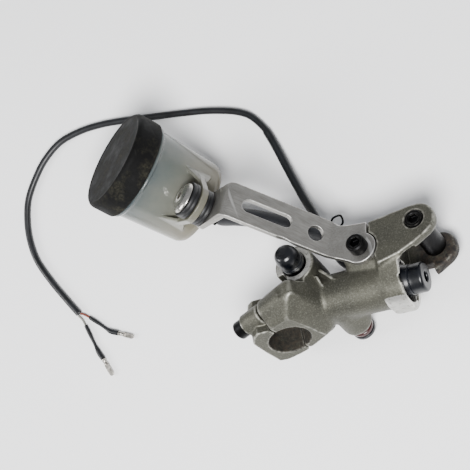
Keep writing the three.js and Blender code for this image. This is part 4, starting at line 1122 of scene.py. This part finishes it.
# ------------------------------------------------------------------ reservoir
def reservoir():
    low = -8.1
    rim_z = 42
    top_z = 47.9
    skirt = 33.6
    g = 4.8

    def wall(z):
        return 23.2 + 2.4 * (z - low) / (top_z - 14 - low)

    middle = Matrix.Translation((CUP_OFFSET, 0, 0))
    outer = turned(rounded([
        (0, low), (19.2, low), (22.2, low + 1.4), (wall(-4), -4), (wall(skirt - 2), skirt - 2),
        (26.8, skirt - 1.6), (26.8, skirt), (24.4, skirt), (24.4, rim_z), (0, rim_z),
    ], 0.8), 144, middle)
    inner = turned(rounded([
        (0, low + 2), (18.2, low + 2), (wall(-3) - 2, -3), (22.4, skirt - 3), (22.4, rim_z + 2),
        (0, rim_z + 2),
    ], 0.8), 144, middle)
    high = g + 3.6
    tongue = [*arc(0, 0, 11, 120, 240, 20), (CUP_OFFSET - 14, -17), (CUP_OFFSET, -19), (CUP_OFFSET, 19),
        (CUP_OFFSET - 14, 17)]
    plate = slab(tongue, g, high)
    ribs = [hull([
        (5, s * 10.2, high - 1), (5, s * 11.8, high - 1), (21, s * 16.2, high + 13),
        (21, s * 17.6, high + 13), (20, s * 16, g - 6), (20, s * 17.4, g - 6), (6, s * 10.4, g),
        (6, s * 12, g),
    ]) for s in (1, -1)]
    spigot = disc(3.6, low - 9, low + 1, middle)
    drain = disc(2.2, low - 10, low + 4, middle)
    mesh = cut(join(outer, plate, *ribs, spigot), inner, drain, disc(4.4, -5, 20))
    mesh = remeshed(mesh, 0.36, 3)
    mesh.transform(LUG)
    place("reservoir_cup", mesh, MILKY, flat=0)

    for name, z in (("lower", 0.3), ("upper", high + 0.3)):
        mesh = turned(rounded([
            (4.4, z), (9.8, z), (9.8, z + 1.7), (9.4, z + 2.1), (9.8, z + 2.5), (9.8, z + 4.2),
            (4.4, z + 4.2),
        ], 0.6), 96, LUG)
        place("lug_grommet_" + name, mesh, SEAL)
    seat = high + 4.8
    sleeve = ring(4.1, 3.3, 0.3, seat - 0.4, LUG, 64, 0.1)
    place("lug_sleeve", sleeve, BRIGHT)
    screw = turned([
        (0, -8.6), (3, -8.6), (3, seat), (8.5, seat), (8.5, seat + 0.7), (7.8, seat + 1.5),
        (6.2, seat + 2.4), (3.6, seat + 3.05), (0, seat + 3.2),
    ], 96, None, 0.3)
    socket = slab(hexagon(2.4), seat + 0.9, seat + 9)
    mesh = cut(screw, socket)
    mesh.transform(LUG)
    place("lug_screw", mesh, BRIGHT)
    nut = slab(hexagon(5.7), -7.9, -3.3)
    mesh = wear(remeshed(cut(nut, disc(M6_HOLE_R, -20, 0)), 0.18, 2), 0.2, 0.8, 2)
    mesh.transform(LUG)
    place("lug_nut", mesh, STEEL, flat=0)

    cap = turned(rounded([
        (24.7, top_z - 14), (27.2, top_z - 14), (27.8, top_z - 13.4), (27.8, top_z - 2.6),
        (27.5, top_z - 1.4), (26.3, top_z), (25.4, top_z), (25.0, top_z - 0.25), (0, top_z - 0.25),
        (0, top_z - 2.4), (24.7, top_z - 2.4),
    ], 0.8), 180)
    mesh = wear(remeshed(cap, 0.3, 2), 0.15, 0.6, 2)
    mesh.transform(CUP)
    place("reservoir_cap", mesh, CAP, "cap", flat=0)


# ------------------------------------------------------------------ feed hose
def hose():
    bottom = CUP @ Vector((0, 0, -8.1))
    route = [bottom - fl_n * d for d in (0.3, 5, 10, 14)]
    route += [(-11, 68.4, 14.6), (-2.4, 63.4, 14), (8.4, 55.8, 12.8), (18, 48, 11.4), (27, 40.2, 10)]
    route += [INLET + INLET_DIR * d for d in (14, 8, 2.9)]
    mesh = tube(smooth_route(route, 120), 4.95, 40, 4.15)
    place("reservoir_hose", mesh, HOSE, flat=30)
    wire = 0.58
    band_r = 5.9
    turns = [2 * math.pi * k / 72 for k in range(73)]
    band = [Vector((band_r * math.cos(a), band_r * math.sin(a), 0)) for a in turns]
    ears = [
        (band_r, 0, -0.5), (8.2, 0, -2.4), (11.6, 0, -2.9), (14.4, 0, 0), (11.6, 0, 2.9), (8.2, 0, 2.4),
        (band_r, 0, 0.5),
    ]
    spots = {"upper": (bottom - fl_n * 5, -fl_n), "lower": (INLET + INLET_DIR * 13, INLET_DIR)}
    for name, (spot, way) in spots.items():
        mesh = join(tube(band, wire, 14), tube(smooth_route(ears, 60), wire, 14))
        mesh.transform(frame_of(spot, (0, 1, 0.25), way))
        place("hose_clip_" + name, mesh, STEEL, flat=50)


# ------------------------------------------------------------------ switch lead, in the row frame's mm
SHEATH = [
    (31.8, -41.1, 14.7), (26.9, -39.3, 13.4), (23.5, -32.3, 12.2), (21.7, -20.3, 11.9), (19.6, -5.4, 11.4),
    (17.9, 2.6, 10), (16, 13.2, 7.8), (14.3, 23.8, 5.6), (12.8, 34.4, 3.8), (11.5, 42.7, 2.7),
    (10.3, 49.2, 2.5),
]
LEAD_ROUTE = [
    (10.1, 49.7, 2.5), (7, 56.9, 2.1), (3, 62.5, 2), (-4.9, 68.1, 2), (-17.8, 74.3, 2), (-31.3, 79.3, 2),
    (-45.1, 84.1, 2), (-56.2, 87.8, 2), (-67.4, 91.5, 2), (-79.6, 94.8, 2), (-92.4, 96.7, 2),
    (-106.3, 96.1, 2), (-118.8, 90.7, 2), (-128.9, 82.6, 2), (-137, 73.5, 2), (-141.9, 62.9, 2),
    (-144.6, 51.4, 2), (-144.7, 38.9, 2), (-141, 24.7, 2), (-135.5, 9.9, 2), (-131.4, -0.1, 2),
]
BROWN_ROUTE = [(-130.5, -0.6, 2), (-128.5, -2.1, 1.5), (-126.3, -4.6, 1.5)]
GREY_ROUTE = [(-132.1, -1.1, 2), (-130.8, -4.3, 1.4), (-130.2, -7.7, 1.5)]
BROWN_SLEEVE = [(-126.1, -4.9, 1.6), (-121.8, -10.5, 1.6), (-117.4, -16.6, 1.6), (-113.1, -19.7, 1.8)]
GREY_SLEEVE = [(-130.1, -8.1, 1.6), (-129.2, -16.4, 1.6), (-128.1, -25.4, 1.6), (-126.9, -29.5, 1.8)]
TIPS = {"brown": Vector((-105.1, -25.4, 1.5)), "grey": Vector((-125, -40.5, 1.5))}


def swell(t):
    """Radius of a terminal's sleeve: slim over the wire, wide over the crimp."""
    return 1.05 + 0.12 * math.sin(t * 9) + 0.38 * min(1, max(0, (t - 0.62) / 0.12))


def crimp(t):
    """Radius of a terminal's barrel, pinched in the middle."""
    return 1.28 - 0.25 * math.exp(-((t - 0.55) / 0.16) ** 2)


def ends(t):
    """Radius of the sheath, which narrows at its end over the cable."""
    return 2.4 - 0.3 * max(0, (t - 0.985) / 0.015)


def terminal(end, tip):
    """A crimped terminal from the end of its sleeve to its tip, with loose strands at the crimp."""
    run = tip - end
    size = run.length - 0.3
    barrel = tube([Vector((0, 0, 4 * k / 12)) for k in range(13)], crimp, 28)
    blade = [(-1.4, 3.6), (1.4, 3.6), (1.4, size - 1), (0.7, size), (-0.7, size), (-1.4, size - 1)]
    tongue = slab(rounded(blade, 0.5), -0.35, 0.35, Matrix.Rotation(math.pi / 2, 4, "X"))
    strands = []
    for k in range(4):
        route = [(0.3 * k - 0.5, 0.25, 3.2), (0.34 * k - 0.6, 0.42, 4.6), (0.4 * k - 0.7, 0.4, 6.0 + 0.3 * k)]
        strands.append(tube([Vector(p) for p in route], 0.12, 8))
    mesh = remeshed(join(barrel, tongue, *strands), 0.09, 1)
    mesh.transform(frame_of(end + run.normalized() * 0.3, run.cross(Z), run))
    return mesh


def lead():
    plain_row = Matrix.Identity(4)
    path = smooth_route(SHEATH + LEAD_ROUTE[1:], 260)
    mesh = tube(path, 1.95, 24)
    cable = place("switch_lead", mesh, LEAD, matrix=plain_row)
    mesh = tube(smooth_route(SHEATH, 70), ends, 28)
    sheath = place("lead_sheath", mesh, LEAD, matrix=plain_row)
    pieces = [sheath]
    strands = {"brown": (BROWN_ROUTE, BROWN_SLEEVE, BROWN), "grey": (GREY_ROUTE, GREY_SLEEVE, GREY)}
    for name, (route, sleeve, material) in strands.items():
        mesh = tube(smooth_route(route, 24), 0.65, 14)
        wire = place("wire_" + name, mesh, material, matrix=plain_row)
        mesh = tube(smooth_route(sleeve, 48), swell, 20)
        cover = place("sleeve_" + name, mesh, LEAD, matrix=plain_row)
        mesh = terminal(Vector(sleeve[-1]), TIPS[name])
        blade = place("terminal_" + name, mesh, TINNED, matrix=plain_row, flat=0)
        pieces += [wire, cover, blade]


# ------------------------------------------------------------------ hidden pieces keep their CAD shape
def hidden_parts():
    inner = {
        "piston": TURNED, "primary_cup": SEAL, "secondary_cup": SEAL, "port_o_ring": SEAL, "bellows": SEAL,
        "return_spring": BRIGHT, "stop_washer": BRIGHT, "switch_spring": BRIGHT, "bore_circlip": STEEL,
        "cap_insert": WHITE,
    }
    for name, material in inner.items():
        node = frame["nodes"][name]
        node.data.materials.clear()
        node.data.materials.append(material)


# ------------------------------------------------------------------ camera, light and bench
def camera():
    turn = Matrix(((0.863, -0.150, -0.483), (0.404, 0.778, 0.481), (0.303, -0.611, 0.732)))
    turn = turn.to_quaternion().to_matrix()
    shift = Vector((64.238, -19.934, -782.917))
    spot = Vector((45, 10, 0)) - turn.transposed() @ shift
    pose = turn.transposed().to_4x4()
    pose.translation = spot
    world = CASTING @ pose
    data = bpy.data.cameras.new("camera")
    data.sensor_width = 36
    data.lens = 36 * 1518.34 / 470
    data.clip_start = 0.01
    data.clip_end = 20
    cam = bpy.data.objects.new("camera", data)
    bpy.context.scene.collection.objects.link(cam)
    cam.rotation_mode = "QUATERNION"
    cam.location = world.translation * 0.001
    cam.rotation_quaternion = world.to_quaternion()
    bpy.context.scene.camera = cam


def light(name, where, target, size, power, color=(1, 1, 1)):
    data = bpy.data.lights.new(name, "AREA")
    data.shape = "DISK"
    data.size = size
    data.energy = power
    data.color = color
    obj = bpy.data.objects.new(name, data)
    bpy.context.scene.collection.objects.link(obj)
    obj.location = where
    obj.rotation_mode = "QUATERNION"
    obj.rotation_quaternion = (Vector(target) - Vector(where)).to_track_quat("-Z", "Y")


def studio():
    world = bpy.data.worlds.new("world")
    bpy.context.scene.world = world
    world.use_nodes = True
    world.node_tree.nodes["Background"].inputs[0].default_value = (0.93, 0.95, 1, 1)
    world.node_tree.nodes["Background"].inputs[1].default_value = 0.5
    mesh = bpy.data.meshes.new("bench")
    half = 3.0
    corners = [(-half, -half, 0), (half, -half, 0), (half, half, 0), (-half, half, 0)]
    mesh.from_pydata(corners, [], [(0, 1, 2, 3)])
    floor = bpy.data.objects.new("bench", mesh)
    bpy.context.scene.collection.objects.link(floor)
    bench = Nodes("bench")
    bench.out("Base Color", (0.95, 0.95, 0.95, 1))
    bench.out("Roughness", 0.75)
    mesh.materials.append(bench.material)
    light("key", (0.05, -0.38, 0.85), (0, 0, 0.03), 0.4, 18)
    light("fill", (-0.75, 0.1, 0.45), (0, 0, 0.03), 0.4, 5)


camera()
lead()
casting()
clamp_cap()
bore_parts()
pivot_parts()
port_parts()
switch_parts()
strap()
reservoir()
hose()
hidden_parts()
studio()
